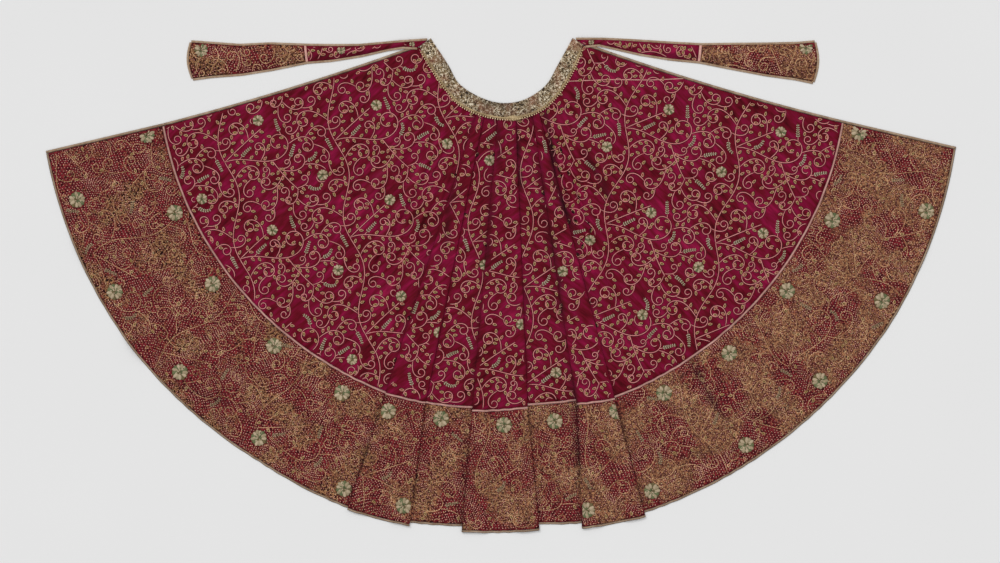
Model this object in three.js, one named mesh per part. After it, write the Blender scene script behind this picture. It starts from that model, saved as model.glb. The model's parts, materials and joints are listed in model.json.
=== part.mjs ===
// Wedding cape, laid out flat: a semicircular cape of embroidered satin with a deep border,
// three box pleats down the centre back, a brocade neck band with a picot edging, and two
// flared ties. Millimetres, +Z up, +Y towards the neck. It rests on z = 0, and the origin is
// the centre of its outline on that surface. Every cloth piece is a wall of constant thickness.
import * as THREE from "three";

// ---- Driving sizes ------------------------------------------------------------------------
const APEX = { x: 0, y: 519.27 }; // the point that the seam and hem arcs are struck from
const CLOTH = 1.2; // lined satin
const BAND = 1.6; // brocade neck band
const BINDING = 1.5; // folded edge binding and piping
const LACE = 1.0; // picot edging
const SEAM_GAP = 0.3; // between pieces that are sewn together
const LAYER = 1.7; // from one layer of a folded pleat to the next
const PIPING_WIDTH = 4.5;
const HALF_SEAM = PIPING_WIDTH / 2 + SEAM_GAP; // from the middle of a piped seam to the cloth
const BINDING_WIDTH = 6;
const TUCK_SHARE = 0.35; // an under-fold reaches this share of a pleat's half width
const BAND_TUCK = 8; // how far the body's raw edge goes in under the neck band
const SEAM_REACH = 1; // how far down a ruling the border seam is
const HEM_REACH = 1.34; // and the hem
const DEG = Math.PI / 180;

// Neck band edges, from the left corner to the right one. y is the height above the apex.
const NECK_OPENING = [
  { x: -162, y: 50 },
  { x: -123.5, y: -8.4 },
  { x: -93.5, y: -57.4 },
  { x: -17.5, y: -96.4 },
  { x: 45, y: -94.4 },
  { x: 101.5, y: -59.9 },
  { x: 133.5, y: -6.9 },
  { x: 165, y: 50.6 },
];
const NECK_SEAM = [
  { x: -188, y: 30.2 },
  { x: -162, y: -15.4 },
  { x: -134, y: -57.4 },
  { x: -88, y: -106.9 },
  { x: 9, y: -135.4 },
  { x: 88, y: -117.4 },
  { x: 133.5, y: -75.4 },
  { x: 168.5, y: -17.4 },
  { x: 189, y: 34.6 },
];

// Straight lines of the cut that run from neck to hem. neck is the share of the neck seam's
// length; seam and hem are angles at the apex, from straight down; each has its radius; bow is how
// far the line sags between neck and seam.
const LINES = {
  leftFront: { neck: 0, seam: -78.9, seamR: 793, hem: -78.35, hemR: 1065, bow: 8 },
  leftSide: { neck: 0.17, seam: -52, seamR: 799, hem: -52, hemR: 1075, bow: 0 },
  leftBack: { neck: 0.3, seam: -31, seamR: 805, hem: -31, hemR: 1076, bow: 0 },
  leftEnd: { neck: 0.385, seam: -19, seamR: 811, hem: -18.8, hemR: 1087, bow: 0 },
  pleat1Left: { neck: 0.385, seam: -19, seamR: 813, hem: -18.8, hemR: 1091, bow: 0 },
  pleat1Right: { neck: 0.412, seam: -12.5, seamR: 809, hem: -11.2, hemR: 1090, bow: 0 },
  gap1Left: { neck: 0.412, seam: -12.5, seamR: 808, hem: -11.2, hemR: 1082, bow: 0 },
  gap1Right: { neck: 0.478, seam: -4.6, seamR: 803, hem: -4.7, hemR: 1073, bow: 0 },
  pleat2Left: { neck: 0.478, seam: -4.6, seamR: 811, hem: -4.7, hemR: 1087, bow: 0 },
  pleat2Right: { neck: 0.548, seam: 4.3, seamR: 803, hem: 4.6, hemR: 1083, bow: 0 },
  gap2Left: { neck: 0.548, seam: 4.3, seamR: 796, hem: 4.6, hemR: 1069, bow: 0 },
  gap2Right: { neck: 0.627, seam: 12.5, seamR: 802, hem: 9.9, hemR: 1079, bow: 0 },
  pleat3Left: { neck: 0.627, seam: 12.5, seamR: 812, hem: 9.9, hemR: 1092, bow: 0 },
  pleat3Right: { neck: 0.65, seam: 18.5, seamR: 824, hem: 17.5, hemR: 1100, bow: 0 },
  rightStart: { neck: 0.65, seam: 18.5, seamR: 820, hem: 17.5, hemR: 1090, bow: 0 },
  rightBack: { neck: 0.74, seam: 34, seamR: 813, hem: 34, hemR: 1086, bow: 0 },
  rightSide: { neck: 0.87, seam: 56, seamR: 807, hem: 56, hemR: 1080, bow: 0 },
  rightFront: { neck: 1, seam: 79.5, seamR: 801, hem: 78.85, hemR: 1063, bow: 9 },
};

// Panels from left to right. A pleat lies on top of its neighbours and is tucked under at
// both edges.
const PANELS = [
  { lines: ["leftFront", "leftSide", "leftBack", "leftEnd"], pleat: false },
  { lines: ["pleat1Left", "pleat1Right"], pleat: true },
  { lines: ["gap1Left", "gap1Right"], pleat: false },
  { lines: ["pleat2Left", "pleat2Right"], pleat: true },
  { lines: ["gap2Left", "gap2Right"], pleat: false },
  { lines: ["pleat3Left", "pleat3Right"], pleat: true },
  { lines: ["rightStart", "rightBack", "rightSide", "rightFront"], pleat: false },
];

// Soft folds that stand off the surface: the panel they are in, their place across it (0 to 1),
// their half width there, their height, and the reaches that they start, peak and end at.
const FOLDS = [
  { panel: 0, across: 0.16, half: 0.045, height: 5, from: 0.75, peak: 1.1, to: 1.5 },
  { panel: 0, across: 0.34, half: 0.045, height: 8, from: 0.55, peak: 1.25, to: 1.9 },
  { panel: 0, across: 0.5, half: 0.04, height: 6, from: 0.05, peak: 0.35, to: 0.95 },
  { panel: 0, across: 0.66, half: 0.04, height: 8, from: 0.03, peak: 0.4, to: 1.1 },
  { panel: 0, across: 0.84, half: 0.04, height: 9, from: 0.05, peak: 0.55, to: 1.5 },
  { panel: 6, across: 0.09, half: 0.04, height: 11, from: 0.02, peak: 0.4, to: 1.15 },
  { panel: 6, across: 0.22, half: 0.04, height: 8, from: 0.05, peak: 0.45, to: 1.25 },
  { panel: 6, across: 0.38, half: 0.045, height: 7, from: 0.2, peak: 0.7, to: 1.4 },
  { panel: 6, across: 0.58, half: 0.045, height: 6, from: 0.1, peak: 0.6, to: 1.2 },
  { panel: 6, across: 0.8, half: 0.045, height: 7, from: 0.45, peak: 0.85, to: 1.5 },
];
const BODY_REACHES = [0, 0.05, 0.12, 0.22, 0.34, 0.46, 0.58, 0.7, 0.82, 0.92];
const BORDER_REACHES = [1.07, 1.14, 1.21, 1.28];
const BINDING_START = 3; // from the neck seam's corner
const WIDEST_SPAN = 0.1; // share of a flat panel's width between columns
const TOP_LAYER = [0, 0.225, 0.375, 0.5, 0.625, 0.775, 1]; // columns across a pleat's top
const PLEAT_REST = 0.2; // columns within this of a pleat's middle come down between its edges
const NARROW_PLEAT = 12; // a pleat narrower than this each side of its middle stays raised
const WIDE_PLEAT = 37; // and one wider than this comes down to the surface

const ROOT_LIFT = BINDING + SEAM_GAP; // a tie's root lies over the front binding

// Ties, from the root at the neck corner outwards. out is the distance from the middle of the
// cape; top and foot are heights above the apex; crease is the height of the soft fold along the
// tie, and lift the height of its underside where it lies over the front binding.
const LEFT_TIE = [
  { out: 228, top: 45.5, foot: 25.5, crease: 1, lift: ROOT_LIFT },
  { out: 262, top: 42.5, foot: 20.5, crease: 2, lift: 0 },
  { out: 323, top: 37, foot: 6.6, crease: 5, lift: 0 },
  { out: 392, top: 36.6, foot: -4.4, crease: 6, lift: 0 },
  { out: 449, top: 37.6, foot: -8.9, crease: 3, lift: 0 },
  { out: 530, top: 40.6, foot: -25.4, crease: 6, lift: 0 },
  { out: 600, top: 37.1, foot: -36.4, crease: 9, lift: 0 },
  { out: 668, top: 42.1, foot: -41.4, crease: 7, lift: 0 },
  { out: 713.5, top: 45.1, foot: -47.4, crease: 0, lift: 0 },
];
const RIGHT_TIE = [
  { out: 228, top: 51, foot: 31, crease: 1, lift: ROOT_LIFT },
  { out: 262, top: 50, foot: 23.5, crease: 2, lift: 0 },
  { out: 323, top: 46.6, foot: 9.6, crease: 5, lift: 0 },
  { out: 392, top: 42.1, foot: -1.4, crease: 6, lift: 0 },
  { out: 458, top: 38.6, foot: -7.9, crease: 4, lift: 0 },
  { out: 542, top: 39.6, foot: -24.4, crease: 7, lift: 0 },
  { out: 611, top: 40.1, foot: -37.4, crease: 9, lift: 0 },
  { out: 680, top: 41.6, foot: -46.9, crease: 6, lift: 0 },
  { out: 722.5, top: 45.1, foot: -55.4, crease: 0, lift: 0 },
];
const TIE_SEAM_ROW = 4; // the row where satin meets border cloth
const TIE_BULGE = 8; // how far the tie's end bows out
const TIE_COLUMNS = [0, 0.25, 0.5, 0.75, 1];
const TIE_CREASE_SHAPE = [0, 0.35, 1, 0.3, 0]; // the crease's height across the tie
const TIE_ROOT_LENGTH = 5; // of the front edge that the tie's root covers
const TIE_ROOT_INSET = 0.3; // share of the band's end that is left above the root, for the binding
const ROOT_CLEAR = { x: 0.45, y: 0.62 }; // out from the band's end and the front edge
const TIE_LEAN = 4; // how far the rows of a tie lean out of upright, from top to foot
const TIE_EDGE = PIPING_WIDTH + SEAM_GAP; // the table's outline takes in the bindings

// Rows of the neck band, as shares of its width from the opening out; it climbs onto the cape's
// raw edge between the two middle ones, and its picot edging lies on its margin.
const BAND_DEPTHS = [0, 0.3, 0.44, 0.58, 0.72, 1];
const BAND_CLIMB = { from: 0.3, to: 0.72 };
const EDGING_DEPTHS = [0.86, 1.06];
const NECK_STEPS = 16; // along each half of the band
const NECK_CENTRE_RISE = 100; // height above the apex that the band curves round
const LIFT_RAMP = { length: 0.04, clear: 0.01 }; // shares of the neck beside the outer pleats

// ---- Helpers --------------------------------------------------------------------------------
const mix = (a, b, t) => a + (b - a) * t;
const mixLines = (a, b, t) =>
  Object.fromEntries(Object.keys(a).map((k) => [k, mix(a[k], b[k], t)]));
const smooth = (t) => {
  const c = Math.min(1, Math.max(0, t));
  return c * c * (3 - 2 * c);
};
function curveOf(points) {
  const placed = points.map(({ x, y }) => new THREE.Vector3(x, APEX.y + y, 0));
  return new THREE.CatmullRomCurve3(placed, false, "centripetal");
}
const opening = curveOf(NECK_OPENING);
const neckSeam = curveOf(NECK_SEAM);
const polar = (angle, radius) =>
  new THREE.Vector3(APEX.x + radius * Math.sin(angle * DEG), APEX.y - radius * Math.cos(angle * DEG), 0);

// A point in plan on a line of the cut, at a reach of 0 (neck), SEAM_REACH or HEM_REACH.
function planPoint(line, reach) {
  const seam = polar(line.seam, line.seamR);
  if (reach > SEAM_REACH) {
    const share = (reach - SEAM_REACH) / (HEM_REACH - SEAM_REACH);
    return seam.lerp(polar(line.hem, line.hemR), share);
  }
  const neck = neckSeam.getPointAt(line.neck);
  const raw = neck.clone().addScaledVector(neck.sub(seam).normalize(), BAND_TUCK);
  const share = reach / SEAM_REACH;
  const point = raw.lerp(seam, share);
  point.y -= line.bow * 4 * share * (1 - share);
  return point;
}

// A polyline in plan moved out from the cape by a distance, mitred. It runs from neck to hem on
// the left (side -1) or the right (side 1).
function movedOut(points, side, distance) {
  const normals = points.slice(1).map((p, i) => {
    const d = p.clone().sub(points[i]).normalize();
    return new THREE.Vector3(-side * d.y, side * d.x, 0);
  });
  return points.map((p, i) => {
    const before = normals[Math.max(0, i - 1)];
    const after = normals[Math.min(normals.length - 1, i)];
    const mitre = before.clone().add(after).divideScalar(1 + before.dot(after));
    return p.clone().addScaledVector(mitre, distance);
  });
}

// The direction across the cloth, from left to right, at a point of the main cape.
const aroundApex = (p) => new THREE.Vector3(-(p.y - APEX.y), p.x - APEX.x, 0).normalize();
const upwards = () => new THREE.Vector3(0, -1, 0);

// How far the cloth's face lies from its middle at point i of a row: square to the row, in the
// upright plane of the direction across, and mitred where the row folds.
function faceOffset(row, i, half, across) {
  const a = across(row[i]);
  const steps = [];
  if (i > 0) steps.push(row[i].clone().sub(row[i - 1]));
  if (i + 1 < row.length) steps.push(row[i + 1].clone().sub(row[i]));
  const normals = steps.map((d) => new THREE.Vector2(-d.z, d.dot(a)).normalize());
  const mitre = normals[0].clone();
  if (normals.length === 2) {
    mitre.add(normals[1]).divideScalar(1 + normals[0].dot(normals[1]));
  }
  const offset = a.multiplyScalar(mitre.x * half);
  return offset.setZ(mitre.y * half);
}

// Turns rows of points on the middle of the cloth into a closed wall of that thickness.
function wall(rows, thickness, across) {
  const offsets = rows.map((row) => row.map((_, i) => faceOffset(row, i, thickness / 2, across)));
  const side = (way) =>
    rows.map((row, r) => row.map((p, i) => p.clone().addScaledVector(offsets[r][i], way)));
  const faces = [side(1), side(-1)];
  const width = rows[0].length;
  const length = rows.length;
  const positions = faces.flat(2).flatMap((p) => [p.x, p.y, p.z]);
  const id = (side, r, c) => (side * length + r) * width + c;
  const index = [];
  const quad = (a, b, c, d) => index.push(a, b, c, a, c, d);
  for (let r = 0; r + 1 < length; r++) {
    for (let c = 0; c + 1 < width; c++) {
      quad(id(0, r, c), id(0, r + 1, c), id(0, r + 1, c + 1), id(0, r, c + 1));
      quad(id(1, r, c), id(1, r, c + 1), id(1, r + 1, c + 1), id(1, r + 1, c));
    }
    quad(id(0, r, 0), id(1, r, 0), id(1, r + 1, 0), id(0, r + 1, 0));
    quad(id(0, r, width - 1), id(0, r + 1, width - 1), id(1, r + 1, width - 1), id(1, r, width - 1));
  }
  for (let c = 0; c + 1 < width; c++) {
    quad(id(0, 0, c), id(0, 0, c + 1), id(1, 0, c + 1), id(1, 0, c));
    quad(id(0, length - 1, c), id(1, length - 1, c), id(1, length - 1, c + 1), id(0, length - 1, c + 1));
  }
  const geometry = new THREE.BufferGeometry();
  geometry.setAttribute("position", new THREE.Float32BufferAttribute(positions, 3));
  geometry.setIndex(signedVolume(positions, index) < 0 ? index.toReversed() : index);
  geometry.computeVertexNormals();
  return geometry;
}

function signedVolume(positions, index) {
  const point = (i) => new THREE.Vector3().fromArray(positions, index[i] * 3);
  let six = 0;
  for (let i = 0; i < index.length; i += 3) six += point(i).dot(point(i + 1).cross(point(i + 2)));
  return six / 6;
}

// ---- Columns across the cape ------------------------------------------------------------------
// The height of a soft fold's crest at a reach.
function crest(fold, reach) {
  if (reach <= fold.from || reach >= fold.to) return 0;
  const share = reach < fold.peak
    ? (reach - fold.from) / (fold.peak - fold.from)
    : (fold.to - reach) / (fold.to - fold.peak);
  return fold.height * smooth(share);
}

// A line at a share across a flat panel, which may have lines of its own in between.
function lineAcross(names, share) {
  const spans = names.length - 1;
  const at = Math.min(spans - 1, Math.floor(share * spans));
  return mixLines(LINES[names[at]], LINES[names[at + 1]], share * spans - at);
}

// Columns of a flat panel: a foot, crest and foot for each fold, and plain ones between them.
function flatColumns(panel, number) {
  const folds = FOLDS.filter((f) => f.panel === number);
  const marks = folds.flatMap((f) => [
    { share: f.across - f.half, fold: null },
    { share: f.across, fold: f },
    { share: f.across + f.half, fold: null },
  ]);
  const ends = [{ share: 0, fold: null }, ...marks, { share: 1, fold: null }];
  const filled = ends.flatMap((mark, i) => {
    const next = ends[i + 1]?.share ?? mark.share;
    const middle = { share: (mark.share + next) / 2, fold: null };
    return next - mark.share > WIDEST_SPAN ? [mark, middle] : [mark];
  });
  return filled.map(({ share, fold }) => ({
    line: lineAcross(panel.lines, share),
    height: (reach) => (fold ? crest(fold, reach) : 0),
  }));
}

// Columns across the top of a pleat, which is raised at its edges and rests in its middle.
function pleatColumns(panel) {
  const [left, right] = panel.lines.map((name) => LINES[name]);
  return TOP_LAYER.map((share) => ({
    line: mixLines(left, right, share),
    height: (reach) => {
      const half = planPoint(left, reach).distanceTo(planPoint(right, reach)) / 2;
      const settled = smooth((half - NARROW_PLEAT) / (WIDE_PLEAT - NARROW_PLEAT));
      const inner = Math.abs(share - 0.5) < PLEAT_REST;
      return 2 * LAYER * (inner ? 1 - settled : 1);
    },
  }));
}

// The two turns of an under-fold, listed from the neighbouring panel to the pleat's edge.
function underFold(neighbour, edge, middle) {
  const inner = mixLines(mixLines(neighbour, edge, 0.5), middle, TUCK_SHARE);
  inner.seamR = mix(neighbour.seamR, edge.seamR, 0.5);
  inner.hemR = mix(neighbour.hemR, edge.hemR, 0.5);
  const level = (n) => () => n * LAYER;
  return [
    { line: inner, height: level(0) },
    { line: inner, height: level(1) },
    { line: edge, height: level(1) },
  ];
}

function capeColumns() {
  const columns = [];
  PANELS.forEach((panel, i) => {
    if (!panel.pleat) {
      columns.push(...flatColumns(panel, i));
      return;
    }
    const [left, right] = panel.lines.map((name) => LINES[name]);
    const middle = mixLines(left, right, 0.5);
    columns.push(...underFold(LINES[PANELS[i - 1].lines.at(-1)], left, middle));
    columns.push(...pleatColumns(panel));
    columns.push(...underFold(LINES[PANELS[i + 1].lines[0]], right, middle).reverse());
  });
  return columns;
}

const COLUMNS = capeColumns();

// One row of the cape's cloth at a reach, moved down the border's lines by some millimetres.
function capeRow(reach, moved = 0) {
  return COLUMNS.map(({ line, height }) => {
    const p = planPoint(line, reach);
    if (moved) {
      const way = polar(line.hem, line.hemR).sub(polar(line.seam, line.seamR));
      p.addScaledVector(way.normalize(), moved);
    }
    p.z = CLOTH / 2 + height(reach);
    return p;
  });
}

// ---- Pieces -------------------------------------------------------------------------------------
const FINISHES = {
  satin: { color: 0x8e0f3c, roughness: 0.45, metalness: 0 },
  border: { color: 0x7d3a34, roughness: 0.6, metalness: 0.1 },
  brocade: { color: 0x8c7a5c, roughness: 0.5, metalness: 0.3 },
  gold: { color: 0xc2a464, roughness: 0.45, metalness: 0.5 },
  piping: { color: 0xcf9c90, roughness: 0.6, metalness: 0 },
  binding: { color: 0xb8a488, roughness: 0.6, metalness: 0 },
};
const cape = new THREE.Group();

function addPiece(name, geometry, finish) {
  const mesh = new THREE.Mesh(geometry, new THREE.MeshStandardMaterial(FINISHES[finish]));
  mesh.name = name;
  cape.add(mesh);
}

function addMainCloth() {
  const body = [...BODY_REACHES.map((reach) => capeRow(reach)), capeRow(SEAM_REACH, -HALF_SEAM)];
  addPiece("body_cloth", wall(body, CLOTH, aroundApex), "satin");

  const piping = [capeRow(SEAM_REACH, -PIPING_WIDTH / 2), capeRow(SEAM_REACH, PIPING_WIDTH / 2)];
  addPiece("seam_piping", wall(piping, CLOTH, aroundApex), "piping");

  const border = [
    capeRow(SEAM_REACH, HALF_SEAM),
    ...BORDER_REACHES.map((reach) => capeRow(reach)),
    capeRow(HEM_REACH, -SEAM_GAP),
  ];
  addPiece("border_cloth", wall(border, CLOTH, aroundApex), "border");

  const hem = [capeRow(HEM_REACH), capeRow(HEM_REACH, PIPING_WIDTH)];
  addPiece("hem_piping", wall(hem, CLOTH, aroundApex), "piping");
}

// The binding along a front edge starts where the tie's root ends, and turns the hem corner.
function addFrontBinding(name, line, side) {
  const end = planPoint(line, HEM_REACH);
  const past = end.clone().sub(planPoint(line, SEAM_REACH)).setLength(PIPING_WIDTH);
  const edge = [
    frontEdgePoint(line, BINDING_START),
    ...BODY_REACHES.slice(2).map((reach) => planPoint(line, reach)),
    planPoint(line, SEAM_REACH),
    end.add(past),
  ];
  const near = movedOut(edge, side, SEAM_GAP);
  const far = movedOut(edge, side, SEAM_GAP + BINDING_WIDTH);
  const rows = edge.map((_, i) => [near[i].setZ(BINDING / 2), far[i].setZ(BINDING / 2)]);
  addPiece(name, wall(rows, BINDING, upwards), "binding");
}

// A point on the front edge, some millimetres down from the neck seam's corner.
function frontEdgePoint(line, distance) {
  const seam = polar(line.seam, line.seamR);
  const length = neckSeam.getPointAt(line.neck).distanceTo(seam) + BAND_TUCK;
  return planPoint(line, (BAND_TUCK + distance) / length);
}

// How high the band's under side lies at its outer margin, over the raw edge of the cape.
function bandLift(share) {
  const { length, clear } = LIFT_RAMP;
  const start = LINES.pleat1Left.neck - clear - length;
  const end = LINES.pleat3Right.neck + clear + length;
  const plateau = smooth((share - start) / length) * smooth((end - share) / length);
  return CLOTH + SEAM_GAP + 2 * LAYER * plateau;
}

// A point of the neck band: share along it, and depth from the neck opening (0) to its seam (1).
function bandPoint(share, depth, raise) {
  const p = opening.getPointAt(share).lerp(neckSeam.getPointAt(share), depth);
  const { from, to } = BAND_CLIMB;
  p.z = raise + bandLift(share) * smooth((depth - from) / (to - from));
  return p;
}

// The direction along the neck band, from its left end to its right one.
const alongNeck = (p) => new THREE.Vector3(APEX.y + NECK_CENTRE_RISE - p.y, p.x, 0).normalize();

function addNeck() {
  const trim = SEAM_GAP / 2 / opening.getLength();
  const sharesOf = (from, to) =>
    Array.from({ length: NECK_STEPS + 1 }, (_, i) => mix(from, to, i / NECK_STEPS));
  const halves = { left: sharesOf(0, 0.5 - trim), right: sharesOf(0.5 + trim, 1) };
  for (const [side, shares] of Object.entries(halves)) {
    const rows = BAND_DEPTHS.map((depth) => shares.map((share) => bandPoint(share, depth, BAND / 2)));
    addPiece(`neck_band_${side}`, wall(rows, BAND, alongNeck), "brocade");
  }
  const shares = [...halves.left, ...halves.right].slice(1, -1);
  const raise = BAND + SEAM_GAP + LACE / 2;
  const edging = EDGING_DEPTHS.map((depth) => shares.map((share) => bandPoint(share, depth, raise)));
  addPiece("neck_picot_edging", wall(edging, LACE, alongNeck), "gold");
}

// The tie's root follows the end of the neck band and the first of the front edge.
function tieRoot(line, side) {
  const away = new THREE.Vector3(side * ROOT_CLEAR.x, ROOT_CLEAR.y, 0);
  const turn = neckSeam.getPointAt(line.neck).add(away);
  const corner = opening.getPointAt(line.neck).add(away).lerp(turn, TIE_ROOT_INSET);
  const foot = frontEdgePoint(line, TIE_ROOT_LENGTH).add(away);
  const points = TIE_COLUMNS.map((share) =>
    share < 0.5 ? corner.clone().lerp(turn, share * 2) : turn.clone().lerp(foot, share * 2 - 1),
  );
  return points.map((p) => p.setZ(ROOT_LIFT));
}

function tieRows(table, line, side) {
  const root = tieRoot(line, side);
  const rows = table.map((row, r) =>
    TIE_COLUMNS.map((share, c) => {
      const atEnd = r === table.length - 1;
      const bulge = atEnd ? TIE_BULGE * Math.sin(Math.PI * share) : 0;
      const lean = side * TIE_LEAN * (atEnd ? -share : 0.5 - share);
      return new THREE.Vector3(
        side * (row.out + bulge) + lean,
        APEX.y + mix(row.top - TIE_EDGE, row.foot + TIE_EDGE, share),
        row.lift + row.crease * TIE_CREASE_SHAPE[c],
      );
    }),
  );
  return [root, ...rows];
}

// A row moved some millimetres towards its neighbour, or away from it where that is negative.
function nudged(row, towards, distance) {
  return row.map((p, i) => {
    const way = towards[i].clone().sub(p).setZ(0);
    return p.clone().addScaledVector(way.normalize(), distance);
  });
}

function lifted(rows, by) {
  return rows.map((row) => row.map((p) => p.clone().setZ(p.z + by)));
}

function addTie(name, table, line, side) {
  const rows = tieRows(table, line, side);
  const seam = TIE_SEAM_ROW + 1;
  const satin = [...rows.slice(0, seam), nudged(rows[seam], rows[seam - 1], HALF_SEAM)];
  addPiece(`${name}_satin`, wall(lifted(satin, CLOTH / 2), CLOTH, upwards), "satin");

  const piping = [
    nudged(rows[seam], rows[seam - 1], PIPING_WIDTH / 2),
    nudged(rows[seam], rows[seam + 1], PIPING_WIDTH / 2),
  ];
  addPiece(`${name}_seam_piping`, wall(lifted(piping, CLOTH / 2), CLOTH, upwards), "piping");

  const last = rows.length - 1;
  const border = [nudged(rows[seam], rows[seam + 1], HALF_SEAM), ...rows.slice(seam + 1)];
  addPiece(`${name}_border`, wall(lifted(border, CLOTH / 2), CLOTH, upwards), "border");

  const endPiping = [
    nudged(rows[last], rows[last - 1], -SEAM_GAP),
    nudged(rows[last], rows[last - 1], -SEAM_GAP - PIPING_WIDTH),
  ];
  addPiece(`${name}_end_piping`, wall(lifted(endPiping, CLOTH / 2), CLOTH, upwards), "piping");

  const width = TIE_COLUMNS.length - 1;
  const edges = { top: [0, 1], foot: [width, -1] };
  for (const [edge, [column, up]] of Object.entries(edges)) {
    const strip = rows.map((row) => {
      const near = row[column].clone();
      const far = row[column].clone();
      near.y += up * SEAM_GAP;
      far.y += up * (SEAM_GAP + PIPING_WIDTH);
      return [near, far];
    });
    addPiece(`${name}_${edge}_binding`, wall(lifted(strip, CLOTH / 2), CLOTH, upwards), "binding");
  }
}

addMainCloth();
addFrontBinding("front_binding_left", LINES.leftFront, -1);
addFrontBinding("front_binding_right", LINES.rightFront, 1);
addNeck();
addTie("tie_left", LEFT_TIE, LINES.leftFront, -1);
addTie("tie_right", RIGHT_TIE, LINES.rightFront, 1);

export default cape;
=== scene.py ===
"""A wedding cape laid flat: embroidered crimson satin, a knotted border, a brocade neck band and ties.

Sizes are in millimetres in the part's own frame, and a mesh is turned to metres as it is made. The
cape's rulings are struck from an apex above the neck: a reach of 0 is the neck, 1 is the border's
seam and 1.34 is the hem.
"""

import json
import logging
import math
from dataclasses import dataclass, field
from enum import Enum
from functools import partial
from typing import Callable, Iterable, Sequence

import bmesh
import bpy
import numpy as np
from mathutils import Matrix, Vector
from mathutils.bvhtree import BVHTree

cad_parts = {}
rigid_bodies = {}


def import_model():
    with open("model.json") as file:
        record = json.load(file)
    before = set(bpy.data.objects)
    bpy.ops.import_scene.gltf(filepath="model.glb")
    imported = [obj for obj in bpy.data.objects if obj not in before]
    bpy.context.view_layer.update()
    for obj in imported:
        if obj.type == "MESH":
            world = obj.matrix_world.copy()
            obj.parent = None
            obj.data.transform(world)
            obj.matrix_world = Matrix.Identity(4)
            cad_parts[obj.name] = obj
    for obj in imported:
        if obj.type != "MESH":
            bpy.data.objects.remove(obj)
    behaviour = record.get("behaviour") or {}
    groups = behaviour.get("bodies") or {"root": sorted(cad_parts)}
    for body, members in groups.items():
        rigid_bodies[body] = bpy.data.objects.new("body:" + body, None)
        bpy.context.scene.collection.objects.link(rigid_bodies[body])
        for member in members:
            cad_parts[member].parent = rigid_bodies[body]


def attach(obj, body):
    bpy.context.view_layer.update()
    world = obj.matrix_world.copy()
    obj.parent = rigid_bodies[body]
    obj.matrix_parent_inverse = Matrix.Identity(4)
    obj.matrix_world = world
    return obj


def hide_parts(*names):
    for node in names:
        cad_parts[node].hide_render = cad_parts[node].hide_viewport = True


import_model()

LOG = logging.getLogger("wedding_cape")
MM = 0.001
SEED = 20

# ---- Sizes shared with the frame, in millimetres -----------------------------------------------
APEX_Y = 519.27
CLOTH = 1.2
BAND = 1.6
SEAM_GAP = 0.3
LAYER = 1.7
PIPING = 4.5
HALF_SEAM = PIPING / 2 + SEAM_GAP
BINDING_WIDTH = 6.0
BINDING = 1.5
BAND_TUCK = 8.0
SEAM_REACH = 1.0
HEM_REACH = 1.34

Array = np.ndarray
Material = bpy.types.Material
Mesh = bpy.types.Mesh
Node = bpy.types.Node
Piece = bpy.types.Object
Socket = bpy.types.NodeSocket
Tree = bpy.types.NodeTree


# ---- Small helpers ------------------------------------------------------------------------------
def smooth(t: Array | float) -> Array | float:
    """Eases a share from 0 to 1."""
    c = np.clip(t, 0.0, 1.0)
    return c * c * (3 - 2 * c)


def unit(v: Array) -> Array:
    """Scales each row of an array to length 1."""
    return v / np.maximum(np.linalg.norm(v, axis=-1, keepdims=True), 1e-9)


def polar(angle: Array | float, radius: Array | float) -> Array:
    """A point at an angle in degrees from straight down, and a radius, from the apex."""
    a = np.radians(angle)
    return np.stack([radius * np.sin(a), APEX_Y - radius * np.cos(a)], axis=-1)


def turned(points: Array, degrees: float) -> Array:
    """Turns points in plan about the origin, anticlockwise.

    Args:
        points: Points in plan.
        degrees: The turn.

    Returns:
        The turned points.
    """
    a = math.radians(degrees)
    spin = np.array([[math.cos(a), math.sin(a)], [-math.sin(a), math.cos(a)]])
    return points @ spin


def toward(degrees: float, distance: float = 1.0) -> Array:
    """A step in plan at a heading in degrees, anticlockwise from +X."""
    a = math.radians(degrees)
    return np.array([distance * math.cos(a), distance * math.sin(a)])


def wave(a: Array, b: Array, pitch: float, sway: float, period: float, start: float = 0.0) -> Array:
    """A wave along one distance in millimetres that sways with another, so that it wanders."""
    return np.sin(a / pitch + sway * np.sin(b / period + start))


def linear(colour: str) -> tuple[float, float, float, float]:
    """Turns an sRGB hex colour into linear red, green, blue and alpha.

    Args:
        colour: Such as "#a01b3c".

    Returns:
        The linear colour.
    """
    parts = [int(colour[i : i + 2], 16) / 255 for i in (1, 3, 5)]
    bent = [p / 12.92 if p <= 0.04045 else ((p + 0.055) / 1.055) ** 2.4 for p in parts]
    return (*bent, 1.0)


def add_node(tree: Tree, kind: str, inputs: dict | None = None, **settings) -> Node:
    """Adds a node to a material.

    Args:
        tree: The material's node tree.
        kind: The node's type.
        inputs: Values or output sockets for its inputs, by name or by number.
        settings: Its other properties.

    Returns:
        The node.
    """
    node = tree.nodes.new(kind)
    for name, value in settings.items():
        setattr(node, name, value)
    for key, value in (inputs or {}).items():
        socket = node.inputs[key]
        if isinstance(value, Socket):
            tree.links.new(value, socket)
        else:
            socket.default_value = value
    return node


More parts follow.
